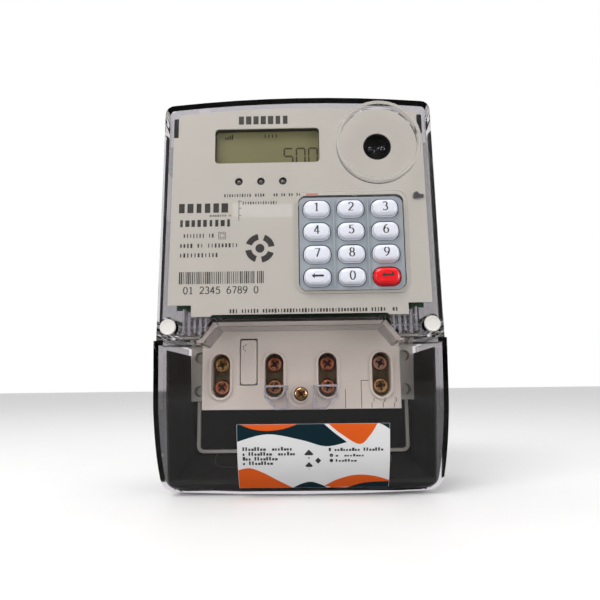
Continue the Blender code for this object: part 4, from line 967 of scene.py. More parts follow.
def screw_mesh(node, head_height, shank_radius, angle, tone):
    """A cross-head screw in the place of a CAD screw."""
    low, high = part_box(node)
    head_radius = (high.x - low.x) / 2
    pitch = sizes().thread_pitch
    turns = int((high.y - low.y - head_height) / pitch)
    values = {
        "Head Radius": head_radius, "Head Height": head_height, "Shank Radius": shank_radius,
        "Thread Pitch": pitch, "Turns": turns, "Recess Angle": angle, "Finish": tone,
    }
    centre = Vector(((low.x + high.x) / 2, low.y, (low.z + high.z) / 2))
    place = Matrix.Translation(centre) @ Matrix.Rotation(pi / 2, 4, "X")
    return grown("cross_head_screw", node + "_finished", values, place)


# ---- pieces ------------------------------------------------------------------
def round_place(node):
    """Radius, front and back depth, and axis in X and Z, of a round node's box."""
    low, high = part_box(node)
    axis = ((low.x + high.x) / 2, (low.z + high.z) / 2)
    return (high.x - low.x) / 2, -low.y, -high.y, axis


def build_case():
    """Base, hanger, wiring frame and cable tray."""
    refined("base_case", case_plastic(), sizes().moulded_edge)
    refined("hanger", zinc(), sizes().moulded_edge * 0.6)
    refined("wiring_frame", case_plastic(), sizes().moulded_edge * 1.5)
    refined("cable_tray", black_plastic(), sizes().moulded_edge)
    build_tray_lines()


def build_tray_lines():
    """Scored outline of the cable way out, as a thin bead on the tray."""
    depth_at = front_of(frame["nodes"]["cable_tray"].data)
    path = smooth_path([(-46.0, -80.0), (-49.5, -83.5), (-47.5, -86.3), (-42.0, -87.3)], 5)
    path += smooth_path([(42.0, -87.3), (47.5, -86.3), (49.5, -83.5), (46.0, -80.0)], 5)
    places = []
    for (x0, z0), (x1, z1) in zip(path, path[1:]):
        for k in range(4):
            x, z = (x0 + (x1 - x0) * k / 4) * MM, (z0 + (z1 - z0) * k / 4) * MM
            places.append((x, -depth_at(x, z), z))
    bead = tube(bmesh.new(), places, 0.35 * MM, 8)
    look = moulding("scored_line", (0.05, 0.05, 0.045), 0.4, wear=0.0)
    piece("tray_scored_line", to_mesh(bead, "tray_scored_line", 80), look)


def build_main_cover():
    """Clear main cover, its gasket and the plugs over its sealing screws."""
    refined("upper_cover", clear_plastic(), sizes().cover_edge, 3)
    refined("cover_gasket", rubber(), sizes().sheet_edge * 2)
    for side in ("left", "right"):
        node = "seal_plug_" + side
        radius, front, back, axis = round_place(node)
        profile = [(0, front - 0.25 * MM), (radius * 0.55, front - 0.2 * MM)]
        profile += [(radius * 0.8, front - 0.12 * MM)]
        profile += [(radius * 0.86, front), (radius * 0.95, front - 0.05 * MM), (radius, front - 0.35 * MM)]
        profile += [(radius, back + 0.2 * MM), (radius * 0.95, back), (radius * 0.6, back)]
        profile += [(radius * 0.55, back + 1.6 * MM), (0, back + 1.6 * MM)]
        mesh = to_mesh(lathe(profile, axis, 48), node + "_finished")
        piece(mesh.name, mesh, seal_plastic(), ROOT, [node])
    build_cover_corners()
    build_side_clip()


def build_cover_corners():
    """Ribs behind the main cover's lower corners and dark posts at its upper ones."""
    plug_low, plug_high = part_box("seal_plug_right")
    reach = plug_low.x - 2.2 * MM
    high = plug_high.z + 5.2 * MM
    plate_back = -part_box("nameplate")[1].y - 0.4 * MM
    for side, sign in (("left", -1), ("right", 1)):
        ribs = bmesh.new()
        for k in range(5):
            x = sign * (reach - 0.6 * MM - 2.7 * MM * k)
            wide = (0.9 + 0.35 * (k % 2)) * MM
            top = high - (1.5 * MM if k % 2 else 0)
            block(ribs, (x - wide / 2, -plate_back, top - 11.5 * MM),
                  (x + wide / 2, -plate_back + 9 * MM, top))
        for drop in (3.4, 8.2):
            ends = sorted((sign * reach, sign * (reach - 12.5 * MM)))
            block(ribs, (ends[0], -plate_back + 1.5 * MM, high - (drop + 1.0) * MM),
                  (ends[1], -plate_back + 7 * MM, high - drop * MM))
        label = "corner_ribs_" + side
        piece(label, to_mesh(ribs, label), frosted_plastic())
        post = bmesh.new()
        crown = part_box("nameplate")[1].z
        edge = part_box("nameplate")[1].x
        ends = sorted((sign * (edge - 0.3 * MM), sign * (edge - 3.0 * MM)))
        slab(post, rounded(((ends[0] + ends[1]) / 2, crown - 11 * MM), (1.35 * MM, 7.4 * MM), 0.6 * MM, 3),
             plate_back - 1 * MM, plate_back - 5 * MM)
        label = "corner_post_" + side
        piece(label, to_mesh(post, label), black_plastic())


def build_side_clip():
    """Small dark latch behind the main cover's face, at the right edge of the nameplate."""
    plate_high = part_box("nameplate")[1]
    keypad_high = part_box("keypad_mat")[1]
    x, z = plate_high.x - 4.4 * MM, keypad_high.z + 0.6 * MM
    front = -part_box("nameplate")[0].y
    clip = bmesh.new()
    hook = [(x - 2.6 * MM, z - 1.0 * MM), (x - 1.0 * MM, z - 1.6 * MM), (x + 2.6 * MM, z - 0.9 * MM),
            (x + 2.8 * MM, z + 0.6 * MM), (x + 0.6 * MM, z + 0.9 * MM), (x - 0.6 * MM, z + 2.3 * MM),
            (x - 2.1 * MM, z + 1.4 * MM)]
    slab(clip, hook, front + 0.7 * MM, front + 0.05 * MM)
    boss = arc((x - 0.9 * MM, z + 0.4 * MM), (0.7 * MM, 0.7 * MM), 0, 330, 11)
    slab(clip, boss, front + 0.95 * MM, front + 0.4 * MM)
    piece("side_clip", to_mesh(clip, "side_clip"), moulding("clip_grey", (0.05, 0.05, 0.055), 0.35))


def build_terminal_cover():
    """Clear lower cover with its screw well, and the frames of the two windows beside it."""
    refined("terminal_cover", clear_plastic(), sizes().cover_edge, 3)
    low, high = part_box("terminal_cover_screw")
    middle = (low.z + high.z) / 2
    front = -low.y - 1.2 * MM
    top, foot, wide, bar = middle + 3.9 * MM, middle - 7.0 * MM, 17.6 * MM, 1.2 * MM
    frames = bmesh.new()
    for sign in (-1, 1):
        inner, outer = sign * 6.6 * MM, sign * wide
        path = [(inner, top), (outer, top), (outer, foot + 5.6 * MM),
                (outer - sign * 5.6 * MM, foot), (inner, foot)]
        for quad in stroke(path, bar, bar, True):
            slab(frames, quad, front + 0.25 * MM, front - 0.1 * MM)
    piece("well_window_frames", to_mesh(frames, "well_window_frames"), frosted_plastic(),
          BODY_OF["terminal_cover"])


def build_screws():
    """Every cross-head screw, each on the body it turns with."""
    for pole in POLES:
        for row in ("upper", "lower"):
            key = "%d_%s" % (pole, row)
            node = "clamp_screw_" + key
            angle = radians(17.0 * pole + (31.0 if row == "lower" else 0.0))
            tone = passivated(CLAMP_TONES[key], -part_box(node)[0].y)
            mesh = screw_mesh(node, 2.8 * MM, 2.4 * MM, angle, tone)
            piece(mesh.name, mesh, None, BODY_OF[node], [node])
    for side in ("left", "right"):
        node = "cover_screw_" + side
        mesh = screw_mesh(node, 2.4 * MM, 2.0 * MM, radians(20), zinc())
        piece(mesh.name, mesh, None, ROOT, [node])
    node = "terminal_cover_screw"
    mesh = screw_mesh(node, 2.6 * MM, 2.0 * MM, radians(40), passivated("bronze", -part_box(node)[0].y))
    piece(mesh.name, mesh, None, BODY_OF[node], [node])


def build_terminals():
    """Terminal block with its printed wiring marks, and the four box clamps."""
    made = refined("terminal_block", block_plastic(), sizes().moulded_edge, 3)
    for pole in POLES:
        refined("terminal_cage_%d" % pole, brass(), 0.25 * MM)
    depth_at = front_of(made.data)
    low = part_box("terminal_block")[0]
    marks = bmesh.new()
    thin = 0.35 * MM
    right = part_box("clamp_screw_4_lower")
    centre = (right[0].x + right[1].x) / 2
    foot = low.z + 0.6 * MM
    lines = [
        rectangle(centre - 10.5 * MM, foot, centre - 10.5 * MM + thin, foot + 13 * MM),
        rectangle(centre - 18.5 * MM, foot, centre - 18.5 * MM + thin, foot + 9 * MM),
        rectangle(centre - 10.5 * MM, foot + 13 * MM, centre - 6.6 * MM, foot + 13 * MM + thin),
        rectangle(centre - 5.4 * MM, foot, centre - 5.4 * MM + thin, foot + 2.2 * MM),
        rectangle(centre + 0.2 * MM, foot, centre + 0.2 * MM + thin, foot + 2.2 * MM),
        rectangle(centre + 5.8 * MM, foot, centre + 5.8 * MM + thin, foot + 2.2 * MM),
    ]
    for outline in lines:
        ink_sheet(marks, outline, depth_at, sizes().print_thickness)
    write_digits(marks, "123", (centre - 4.2 * MM, foot + 2.8 * MM), 1.9 * MM, 5.4 * MM, depth_at,
                 sizes().print_thickness, 0.17, 0.12)
    grey = printed("faded_ink", (0.12, 0.10, 0.085), 0.5)
    piece("terminal_marks", to_mesh(marks, "terminal_marks"), grey)


def build_tamper():
    """Ribbed lever that the terminal cover presses, and the switch behind it."""
    lever = refined("tamper_lever", block_plastic(), sizes().moulded_edge * 1.4, 3)
    low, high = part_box("tamper_lever")
    ribs = 4
    pitch = (high.x - low.x) / (ribs + 1)
    values = {
        "Count": ribs, "Pitch": pitch, "Height": (high.z - low.z) * 0.62, "Thinnest": 0.5 * MM,
        "Thickest": 0.5 * MM, "Thickness": 0.5 * MM, "Finish": block_plastic(),
    }
    place = Matrix.Translation((low.x + pitch, low.y + 0.1 * MM, (low.z + high.z) / 2 - 1.6 * MM))
    mesh = grown("row_of_marks", "lever_ribs", values, place)
    piece("lever_ribs", mesh, None, BODY_OF["tamper_lever"])
    depth_at = front_of(lever.data)
    dots = bmesh.new()
    for dx, dz in ((1.4, 3.2), (2.6, 2.6), (1.5, 4.4), (2.3, 5.4)):
        spot = arc((low.x + dx * MM, high.z - dz * MM), (0.34 * MM, 0.34 * MM), 0, 330, 11)
        ink_sheet(dots, spot, depth_at, sizes().print_thickness)
    piece("lever_dots", to_mesh(dots, "lever_dots"), ink(), BODY_OF["tamper_lever"])
    refined("tamper_switch", component_plastic(), 0.4 * MM)
    low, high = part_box("tamper_switch")
    middle = ((low.x + high.x) / 2, (low.z + high.z) / 2)
    nose = lathe([(0, -low.y + 1.1 * MM), (0.7 * MM, -low.y + 0.9 * MM), (0.9 * MM, -low.y + 0.4 * MM),
                  (0.9 * MM, -low.y - 0.4 * MM), (0, -low.y - 0.4 * MM)], middle, 20)
    piece("switch_plunger", to_mesh(nose, "switch_plunger"), printed("plunger_red", (0.5, 0.03, 0.02)))


class PlateMap:
    """Places on the nameplate, from its own box and what shows through it."""

    def __init__(self):
        self.low, self.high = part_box("nameplate")
        self.lcd_low, self.lcd_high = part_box("lcd_module")
        self.front = -self.low.y


def print_row(label, start, count, pitch, height, widths, seed, gap=0.0, change=0.0, tone=None, surface=None):
    """A row of printed marks on the nameplate from its left foot."""
    plate = PlateMap()
    values = {
        "Count": count, "Pitch": pitch, "Height": height, "Height Change": change,
        "Thinnest": widths[0], "Thickest": widths[1], "Gap Share": gap, "Seed": seed,
        "Thickness": sizes().print_thickness * 2, "Finish": tone or ink(),
    }
    place = Matrix.Translation((start[0], -(surface or plate.front), start[1] + height / 2))
    piece(label, grown("row_of_marks", label, values, place), None)


def build_nameplate():
    """Nameplate with plain marks where the real one has words, a bar code and counting digits."""
    refined("nameplate", plate_finish(), sizes().sheet_edge)
    plate = PlateMap()
    left = plate.low.x + 8.9 * MM
    heading = plate.lcd_low.x + 13.0 * MM
    print_row("print_heading", (heading + 2 * MM, plate.lcd_high.z + 0.6 * MM), 7, 3.7 * MM, 4.4 * MM,
              (2.1 * MM, 2.9 * MM), 3)
    lamp_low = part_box("led_credit")[0]
    lamp_z = lamp_low.z
    for k, lamp in enumerate(("led_credit", "led_alarm", "led_pulse")):
        low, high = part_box(lamp)
        middle = (low.x + high.x) / 2
        count = (11, 5, 11)[k]
        start = middle - count * 0.5 * 1.25 * MM + (0.0, 0.6, 2.6)[k] * MM
        print_row("print_caption_%d" % (k + 1), (start, lamp_z - 6.4 * MM), count, 1.25 * MM, 1.8 * MM,
                  (0.35 * MM, 0.75 * MM), 5 + k, 0.1, 0.35)
    print_row("print_note", (lamp_low.x + 4.0 * MM, lamp_z - 10.4 * MM), 14, 1.25 * MM, 1.8 * MM,
              (0.35 * MM, 0.75 * MM), 11, 0.1, 0.35)
    rows = (
        ("print_maker", 39.6, 6, 4.25, 4.8, (2.3, 3.3), 21, 0.0, 0.0),
        ("print_place", 37.4, 13, 0.85, 1.2, (0.3, 0.6), 22, 0.1, 0.4),
        ("print_type", 32.4, 9, 2.9, 3.7, (1.2, 2.1), 23, 0.0, 0.15),
        ("print_rating_1", 26.8, 12, 1.55, 2.3, (0.4, 0.9), 24, 0.25, 0.25),
        ("print_rating_2", 21.8, 17, 1.7, 2.3, (0.4, 1.0), 25, 0.18, 0.25),
        ("print_rating_3", 17.0, 11, 1.75, 2.3, (0.4, 1.0), 26, 0.0, 0.2),
    )
    for label, z, count, pitch, height, widths, seed, gap, change in rows:
        shift = 15.0 * MM if label == "print_place" else 0.9 * MM
        print_row(label, (left - 4 * MM + shift, z * MM), count, pitch * MM, height * MM,
                  (widths[0] * MM, widths[1] * MM), seed, gap, change)
    print_row("print_bar_code", (left - 3.4 * MM, 3.9 * MM), 46, 0.90 * MM, 6.0 * MM,
              (0.18 * MM, 0.72 * MM), 31, 0.06)
    print_row("print_foot", (-33.0 * MM, -10.6 * MM), 56, 1.44 * MM, 2.1 * MM, (0.45 * MM, 1.0 * MM), 41,
              0.13, 0.3)
    extra = bmesh.new()
    at = level(plate.front)
    thick = sizes().print_thickness
    write_digits(extra, "01 2345 6789 0", (left - 0.4 * MM, -0.9 * MM), 3.4 * MM, 2.62 * MM, at, thick,
                 0.15, 0.13)
    square = (left + 17.0 * MM, 27.9 * MM)
    for half in (1.7, 1.0):
        frame_line = stroke(rectangle(square[0] - half * MM, square[1] - half * MM, square[0] + half * MM,
                                      square[1] + half * MM), 0.3 * MM, 0.3 * MM, True)
        for quad in frame_line:
            ink_sheet(extra, quad, at, thick)
    low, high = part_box("led_credit")
    stem = (low.x + high.x) / 2
    ink_sheet(extra, rectangle(stem, lamp_z - 18.5 * MM, stem + 0.3 * MM, lamp_z - 8 * MM), at, thick)
    for k in range(3):
        z = lamp_z - (8.6 + 3.6 * k) * MM
        ink_sheet(extra, rectangle(stem, z, stem + 1.4 * MM, z + 0.3 * MM), at, thick)
    port = (-18.9 * MM, 21.2 * MM)
    for turn in range(4):
        wedge = arc(port, (7.2 * MM, 7.2 * MM), 90 * turn + 8, 90 * turn + 70, 8)
        inner = arc(port, (4.2 * MM, 4.2 * MM), 90 * turn + 70, 90 * turn + 8, 8)
        ink_sheet(extra, wedge + inner, at, thick)
    ink_sheet(extra, arc(port, (2.2 * MM, 2.2 * MM), 0, 345, 23), at, thick)
    piece("print_symbols", to_mesh(extra, "print_symbols"), ink())
    red = bmesh.new()
    keypad_low, keypad_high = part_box("keypad_mat")
    ink_sheet(red, rectangle(keypad_low.x + 3.6 * MM, keypad_high.z + 2.1 * MM, keypad_low.x + 9.4 * MM,
                             keypad_high.z + 2.6 * MM), at, thick)
    piece("print_red_mark", to_mesh(red, "print_red_mark"), printed("red_ink", (0.6, 0.06, 0.03)))


def build_display_pieces():
    """Display glass, its holder, the lit digits and their shadows."""
    refined("lcd_module", display_finish(), 0.3 * MM)
    # The holder is near black: partly its own colour, partly painted shade for the shadowed walls of the
    # display's recess.
    refined("lcd_holder", moulding("display_frame", (0.022, 0.022, 0.018), 0.4), 0.2 * MM)
    low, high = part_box("lcd_module")
    width, height = 4.3 * MM, sizes().digit_height
    right = high.x - 2.9 * MM
    foot = low.z + 2.3 * MM
    pitch = 6.2 * MM
    bar = 0.62 * MM
    on, shadow = bmesh.new(), bmesh.new()
    glass = -low.y
    for place, symbol in enumerate("005"):
        left = right - pitch * place - width
        for outline in segment_outlines(symbol, left, foot, width, height, bar):
            ink_sheet(on, outline, level(glass + 0.05 * MM), 0.02 * MM)
            lowered = [(x + 0.25 * MM, z - 0.35 * MM) for x, z in outline]
            ink_sheet(shadow, lowered, level(glass), 0.02 * MM)
    top = high.z - 4.6 * MM
    for k in range(4):
        x = low.x + 6.2 * MM + 1.15 * MM * k
        ink_sheet(on, rectangle(x, top - 1.2 * MM, x + 0.75 * MM, top - 0.1 * MM + 0.5 * MM * k),
                  level(glass + 0.05 * MM), 0.02 * MM)
    for k in range(4):
        x = low.x + 26.5 * MM + 1.9 * MM * k
        ink_sheet(on, rectangle(x, top - 0.6 * MM, x + 0.5 * MM, top + 1.2 * MM), level(glass + 0.05 * MM),
                  0.02 * MM)
    dark = printed("display_segment_on", (0.035, 0.033, 0.016), 0.35)
    cast = printed("display_segment_shadow", (0.14, 0.132, 0.062), 0.35)
    piece("display_digits", to_mesh(on, "display_digits"), dark)
    piece("display_digit_shadows", to_mesh(shadow, "display_digit_shadows"), cast)


def domed_lens(node, share, shoulder, flange, look):
    """A round lens with a domed front, a share of the radius wide, on a wider flange."""
    radius, front, back, axis = round_place(node)
    narrow = radius * share
    dome = [(narrow * sin(radians(a)), front - radius * (1 - cos(radians(a)))) for a in range(0, 91, 10)]
    profile = dome + [(narrow, back + shoulder), (radius, back + flange), (radius, back), (0, back)]
    mesh = to_mesh(lathe(profile, axis, 32), node + "_finished")
    piece(mesh.name, mesh, look, ROOT, [node])


def build_lamps():
    """Three status lamps with their rims, and the optical port's cup and diodes."""
    for node in ("led_credit", "led_alarm", "led_pulse"):
        domed_lens(node, 0.96, 1.2 * MM, 1.0 * MM, lamp_finish())
    refined("diode_holder", black_plastic(), 0.25 * MM)
    for node in ("ir_emitter", "ir_receiver"):
        domed_lens(node, 0.9, 0.8 * MM, 0.7 * MM, diode_finish())


KEY_STEPS = (
    # share of the height from the back, inset from the side
    (0.0, 0.0), (0.42, 0.0), (0.47, 0.12), (0.50, 0.38), (0.56, 0.46), (0.80, 0.55), (0.90, 0.75),
    (0.96, 1.1), (0.99, 1.55),
)


def key_mesh(node):
    """A domed key with a stepped skirt."""
    low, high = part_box(node)
    centre = ((low.x + high.x) / 2, (low.z + high.z) / 2)
    half = ((high.x - low.x) / 2, (high.z - low.z) / 2)
    radius = half[1] - 0.5 * MM
    front, back = -low.y, -high.y
    crown = sizes().key_crown
    rings = []
    for share, inset in KEY_STEPS:
        inset *= MM
        depth = back + (front - crown - back) * share
        outline = rounded(centre, (half[0] - inset, half[1] - inset), radius - inset, 10)
        rings.append([(x, -depth, z) for x, z in outline])
    for k, shrink in enumerate((0.62, 0.42, 0.2)):
        depth = front - crown * (0.35, 0.12, 0.02)[k]
        outline = rounded(centre, (half[0] * shrink, half[1] * shrink), half[1] * shrink * 0.9, 10)
        rings.append([(x, -depth, z) for x, z in outline])
    bm = bmesh.new()
    loft(bm, rings)
    return to_mesh(bm, node + "_finished", 40)


def arrow_outline(centre, reach, head):
    """A plain arrow that points left."""
    x, z = centre
    bar = head * 0.4
    return [(x - reach, z), (x - reach + head * 1.25, z - head), (x - reach + head * 1.25, z - bar),
            (x + reach, z - bar), (x + reach, z + bar), (x - reach + head * 1.25, z + bar),
            (x - reach + head * 1.25, z + head)]


def build_mat_ribs():
    """Two thin ribs on the mat, one in each gap between the columns of keys."""
    low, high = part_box("keypad_mat")
    middle = (low.x + high.x) / 2
    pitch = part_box("key_3")[0].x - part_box("key_2")[0].x
    half_width, proud, sunk, end_gap = 0.35 * MM, 0.7 * MM, 0.6 * MM, 1.0 * MM
    ribs = bmesh.new()
    for side in (-1, 1):
        x = middle + side * pitch / 2
        block(ribs, (x - half_width, low.y + sunk, low.z + end_gap),
              (x + half_width, low.y - proud, high.z - end_gap))
    round_edges(ribs, 0.12 * MM)
    piece("mat_ribs", to_mesh(ribs, "mat_ribs"), silicone(), BODY_OF["keypad_mat"])


def build_keypad():
    """Rubber mat, twelve keys with generic legends, and the board under them."""
    refined("keypad_mat", silicone(), 0.3 * MM, 3)
    build_mat_ribs()
    refined("keypad_board", board_finish(), sizes().sheet_edge)
    for node in KEYS:
        red = node == "key_enter"
        mesh = key_mesh(node)
        look = red_key_plastic() if red else white_key_plastic()
        piece(mesh.name, mesh, look, BODY_OF[node], [node])
        depth_at = front_of(mesh)
        low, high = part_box(node)
        centre = ((low.x + high.x) / 2, (low.z + high.z) / 2 + 0.35 * MM)
        legend = bmesh.new()
        thick = sizes().print_thickness * 2
        step = 0.45 * MM
        symbol = node.split("_")[1]
        tall = sizes().legend_height
        if symbol.isdigit():
            write_digits(legend, symbol, (centre[0], centre[1] - tall / 2), tall, 0, depth_at, thick,
                         0.16, 0.06, step)
        else:
            ink_sheet(legend, arrow_outline(centre, 2.9 * MM, 1.2 * MM), depth_at, thick, step)
        if symbol == "enter":
            hook = rectangle(centre[0] + 1.95 * MM, centre[1], centre[0] + 2.9 * MM, centre[1] + 1.4 * MM)
            ink_sheet(legend, hook, depth_at, thick, step)
        name = node + "_legend"
        piece(name, to_mesh(legend, name), ink(), BODY_OF[node])


def build_sticker():
    """Sticker on the terminal cover: plain waves of colour and rows of marks, with no words."""
    base = refined("cover_label", printed("sticker_paper", (0.78, 0.78, 0.79), 0.3), 0.04 * MM)
    low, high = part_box("cover_label")
    depth_at = front_of(base.data)
    body = BODY_OF["cover_label"]
    wide, tall = high.x - low.x, high.z - low.z
    edge = 0.002

    def on(points):
        return [(low.x + wide * min(max(u, edge), 1 - edge), high.z - tall * min(max(v, edge), 1 - edge))
                for u, v in points]

    teal_low = smooth_path([(0, 0.26), (0.2, 0.15), (0.42, 0.24), (0.58, 0.34), (0.72, 0.28)])
    teal_high = smooth_path([(0.72, 0.28), (0.64, 0.14), (0.57, 0.0)])
    crescent = smooth_path([(0.40, 0.0), (0.31, 0.07), (0.2, 0.10), (0.1, 0.07), (0.02, 0.0)])
    orange_top = smooth_path([(0.60, 0.0), (0.68, 0.15), (0.80, 0.31), (0.87, 0.18), (0.92, 0.0)])
    orange_left = smooth_path([(0, 0.70), (0.08, 0.67), (0.17, 0.75), (0.26, 0.87), (0.36, 1.0)])
    teal_foot = smooth_path([(0.36, 1.0), (0.42, 0.93), (0.48, 0.90), (0.54, 0.94), (0.59, 1.0)])
    orange_foot = smooth_path([(0.57, 0.97), (0.66, 0.86), (0.78, 0.79), (0.9, 0.81), (1.0, 0.88)])
    teal_right = smooth_path([(0.72, 1.0), (0.84, 0.92), (1.0, 0.90)])
    corner = smooth_path([(0.93, 0.0), (0.96, 0.03), (1.0, 0.09)])
    layers = (
        ("sticker_teal", tones().teal, 1, [teal_low + teal_high[1:] + [(0, 0)], teal_foot,
                                           corner + [(1, 0)], teal_right + [(1, 1)]]),
        ("sticker_orange", tones().orange, 2, [crescent, orange_top, orange_left + [(0, 1)],
                                               orange_foot + teal_right[:0:-1] + [(0.62, 1.0)]]),
    )
    sheet = 0.03 * MM
    for label, tone, order, shapes in layers:
        bm = bmesh.new()
        for shape in shapes:
            outline = tidy(on(shape))
            ink_sheet(bm, outline, depth_at, sheet * order, 0.8 * MM)
        piece(label, to_mesh(bm, label), printed(label + "_ink", tone, 0.3), body)
    bars = bmesh.new()
    for u, v, span, high_share in (
        (0.035, 0.40, 0.33, 0.056), (0.035, 0.475, 0.35, 0.056), (0.035, 0.55, 0.27, 0.056),
        (0.035, 0.62, 0.22, 0.056), (0.60, 0.415, 0.36, 0.05), (0.645, 0.50, 0.19, 0.04),
        (0.645, 0.58, 0.18, 0.04),
    ):
        letters = int(span * 54)
        for k in range(letters):
            dice = (k * 37 + int(v * 1000) * 11) % 29
            if dice % 7 == 6:
                continue
            a = u + span * k / letters
            b = a + span / letters * (0.55 + 0.018 * (dice % 20))
            top = v - high_share * (0.62 + 0.38 * (dice % 3 == 0))
            ink_sheet(bars, tidy(on([(a, v), (a, top), (b, top), (b, v)])), depth_at, sheet)
    for v in (0.50, 0.58):
        dot = on(arc((0.617, v - 0.02), (0.012, 0.028), 0, 330, 11))
        ink_sheet(bars, dot, depth_at, sheet)
    for u, v, half in ((0.47, 0.46, 0.03), (0.53, 0.56, 0.02), (0.47, 0.64, 0.025)):
        mark = on([(u - half, v), (u, v - half * 2.4), (u + half, v), (u, v + half * 2.4)])
        ink_sheet(bars, mark, depth_at, sheet)
    piece("sticker_marks", to_mesh(bars, "sticker_marks"), ink(), body)


def tidy(outline):
    """An outline without points that lie on each other."""
    kept = [outline[0]]
    for point in outline[1:]:
        if (Vector(point) - Vector(kept[-1])).length > 0.02 * MM:
            kept.append(point)
    if (Vector(kept[0]) - Vector(kept[-1])).length < 0.02 * MM:
        kept.pop()
    return kept


def build_electronics():
    """Boards with small parts, and the relay, shunt, transformer and other components."""
    for node in ("main_board", "display_board"):
        refined(node, board_finish(), sizes().sheet_edge)
        low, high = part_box(node)
        for k, (face, finish_of) in enumerate(((-low.y, component_plastic()), (-high.y, tinned()))):
            deep = 0.9 * MM if k == 0 else 0.5 * MM
            values = {
                "Width": (high.x - low.x) * 0.9, "Height": (high.z - low.z) * 0.9, "Columns": 15, "Rows": 11,
                "Kept Share": 0.4 if k == 0 else 0.8, "Scatter": 1.8 * MM, "Seed": 3 + k, "Finish": finish_of,
                "Smallest": (0.9 * MM, deep, 0.6 * MM), "Largest": (2.6 * MM, deep, 2.0 * MM),
            }
            shift = deep / 2 if k == 0 else -deep / 2
            place = Matrix.Translation(((low.x + high.x) / 2, -(face + shift), (low.z + high.z) / 2))
            label = "%s_parts_%d" % (node, k + 1)
            piece(label, grown("board_parts", label, values, place), None)
    refined("latching_relay", moulding("relay_case", (0.05, 0.055, 0.06), 0.35),
            0.8 * MM, 3)
    refined("current_shunt", copper(), 0.3 * MM)
    refined("supply_transformer", moulding("transformer_tape", (0.55, 0.40, 0.05), 0.4),
            1.2 * MM, 3)
    refined("board_connector", moulding("connector_nylon", (0.7, 0.68, 0.6), 0.4),
            0.3 * MM)
    for node, look in (("power_capacitor", moulding("capacitor_sleeve", (0.01, 0.02, 0.06), 0.3)),
                       ("backup_battery", moulding("battery_sleeve", (0.12, 0.35, 0.16), 0.3)),
                       ("buzzer", component_plastic())):
        refined(node, look, 0.5 * MM, 3)


# ---- stage -------------------------------------------------------------------
CAMERA_PLACE = (0.004535, -0.3148, -0.04495)
CAMERA_YAW, CAMERA_PITCH, CAMERA_ROLL = 0.017, 0.161, -0.012


def build_camera():
    data = bpy.data.cameras.new("front_camera")
    data.lens = bpy.context.scene.meter_stage.lens
    data.sensor_width = 36.0
    data.clip_start = 0.01
    camera = bpy.data.objects.new("front_camera", data)
    bpy.context.scene.collection.objects.link(camera)
    turn = Matrix.Rotation(CAMERA_YAW, 4, "Z") @ Matrix.Rotation(pi / 2 + CAMERA_PITCH, 4, "X")
    camera.matrix_world = Matrix.Translation(CAMERA_PLACE) @ turn @ Matrix.Rotation(CAMERA_ROLL, 4, "Z")
    bpy.context.scene.camera = camera


def area_light(name, place, target, size, power, tone=(1, 1, 1)):
    data = bpy.data.lights.new(name, "AREA")
    data.shape = "RECTANGLE"
    data.size, data.size_y = size
    data.energy = power
    data.color = tone
    lamp = bpy.data.objects.new(name, data)
    bpy.context.scene.collection.objects.link(lamp)
    lamp.location = place
    lamp.rotation_mode = "QUATERNION"
    lamp.rotation_quaternion = (Vector(target) - Vector(place)).to_track_quat("-Z", "Y")
    return lamp


def build_room():
    """White for the camera, and a softer room with darker sides for what the covers reflect."""
    world = bpy.data.worlds.new("studio")
    bpy.context.scene.world = world
    world.use_nodes = True
    tree = world.node_tree
    tree.nodes.clear()
    direction = put(tree, "ShaderNodeTexCoord").outputs["Generated"]
    way = put(tree, "ShaderNodeSeparateXYZ", {0: direction}).outputs
    above = put(tree, "ShaderNodeMapRange", {"Value": way[2], "From Min": 0.45, "From Max": 0.85}).outputs[0]
    behind = put(tree, "ShaderNodeMapRange",
                 {"Value": way[1], "From Min": -0.15, "From Max": 0.35}).outputs[0]
    wall = put(tree, "ShaderNodeMix", {0: behind, 6: (0.035, 0.035, 0.035, 1), 7: (0.78, 0.76, 0.78, 1)},
               data_type="RGBA").outputs[2]
    tone = put(tree, "ShaderNodeMix", {0: above, 6: wall, 7: (0.9, 0.9, 0.9, 1)}, data_type="RGBA").outputs[2]
    seen = put(tree, "ShaderNodeLightPath").outputs["Is Camera Ray"]
    white = put(tree, "ShaderNodeBackground", {"Color": (1, 1, 1, 1), "Strength": 1.0})
    room = put(tree, "ShaderNodeBackground", {"Color": tone, "Strength": bpy.context.scene.meter_stage.room})
    mixed = put(tree, "ShaderNodeMixShader", {0: seen, 1: room.outputs[0], 2: white.outputs[0]})
    put(tree, "ShaderNodeOutputWorld", {"Surface": mixed.outputs[0]})


def build_floor():
    """A wide plain floor just under the foot, duller to light than to the camera."""
    bm = bmesh.new()
    reach = 6.0
    low = CAD_BOX[0].z - 0.0005
    slab(bm, rectangle(-reach, low - 0.01, reach, low), reach, -reach)
    mesh = to_mesh(bm, "floor")
    tone = bpy.context.scene.meter_stage.floor
    look = moulding("plain_floor", tone, 0.6, shade_change=0.01, grain=(300.0, 0.02), wear=0.0, dust=0.0)
    nodes = look.node_tree.nodes
    seen = put(look.node_tree, "ShaderNodeLightPath").outputs["Is Camera Ray"]
    surface = next(n for n in nodes if n.type == "GROUP")
    dull = put(look.node_tree, "ShaderNodeMix",
               {0: seen, 6: (0.16, 0.16, 0.16, 1), 7: surface.outputs["Colour"]},
               data_type="RGBA").outputs[2]
    look.node_tree.links.new(dull, nodes["Principled BSDF"].inputs["Base Color"])
    mesh.materials.append(look)
    floor = bpy.data.objects.new("floor", mesh)
    bpy.context.scene.collection.objects.link(floor)


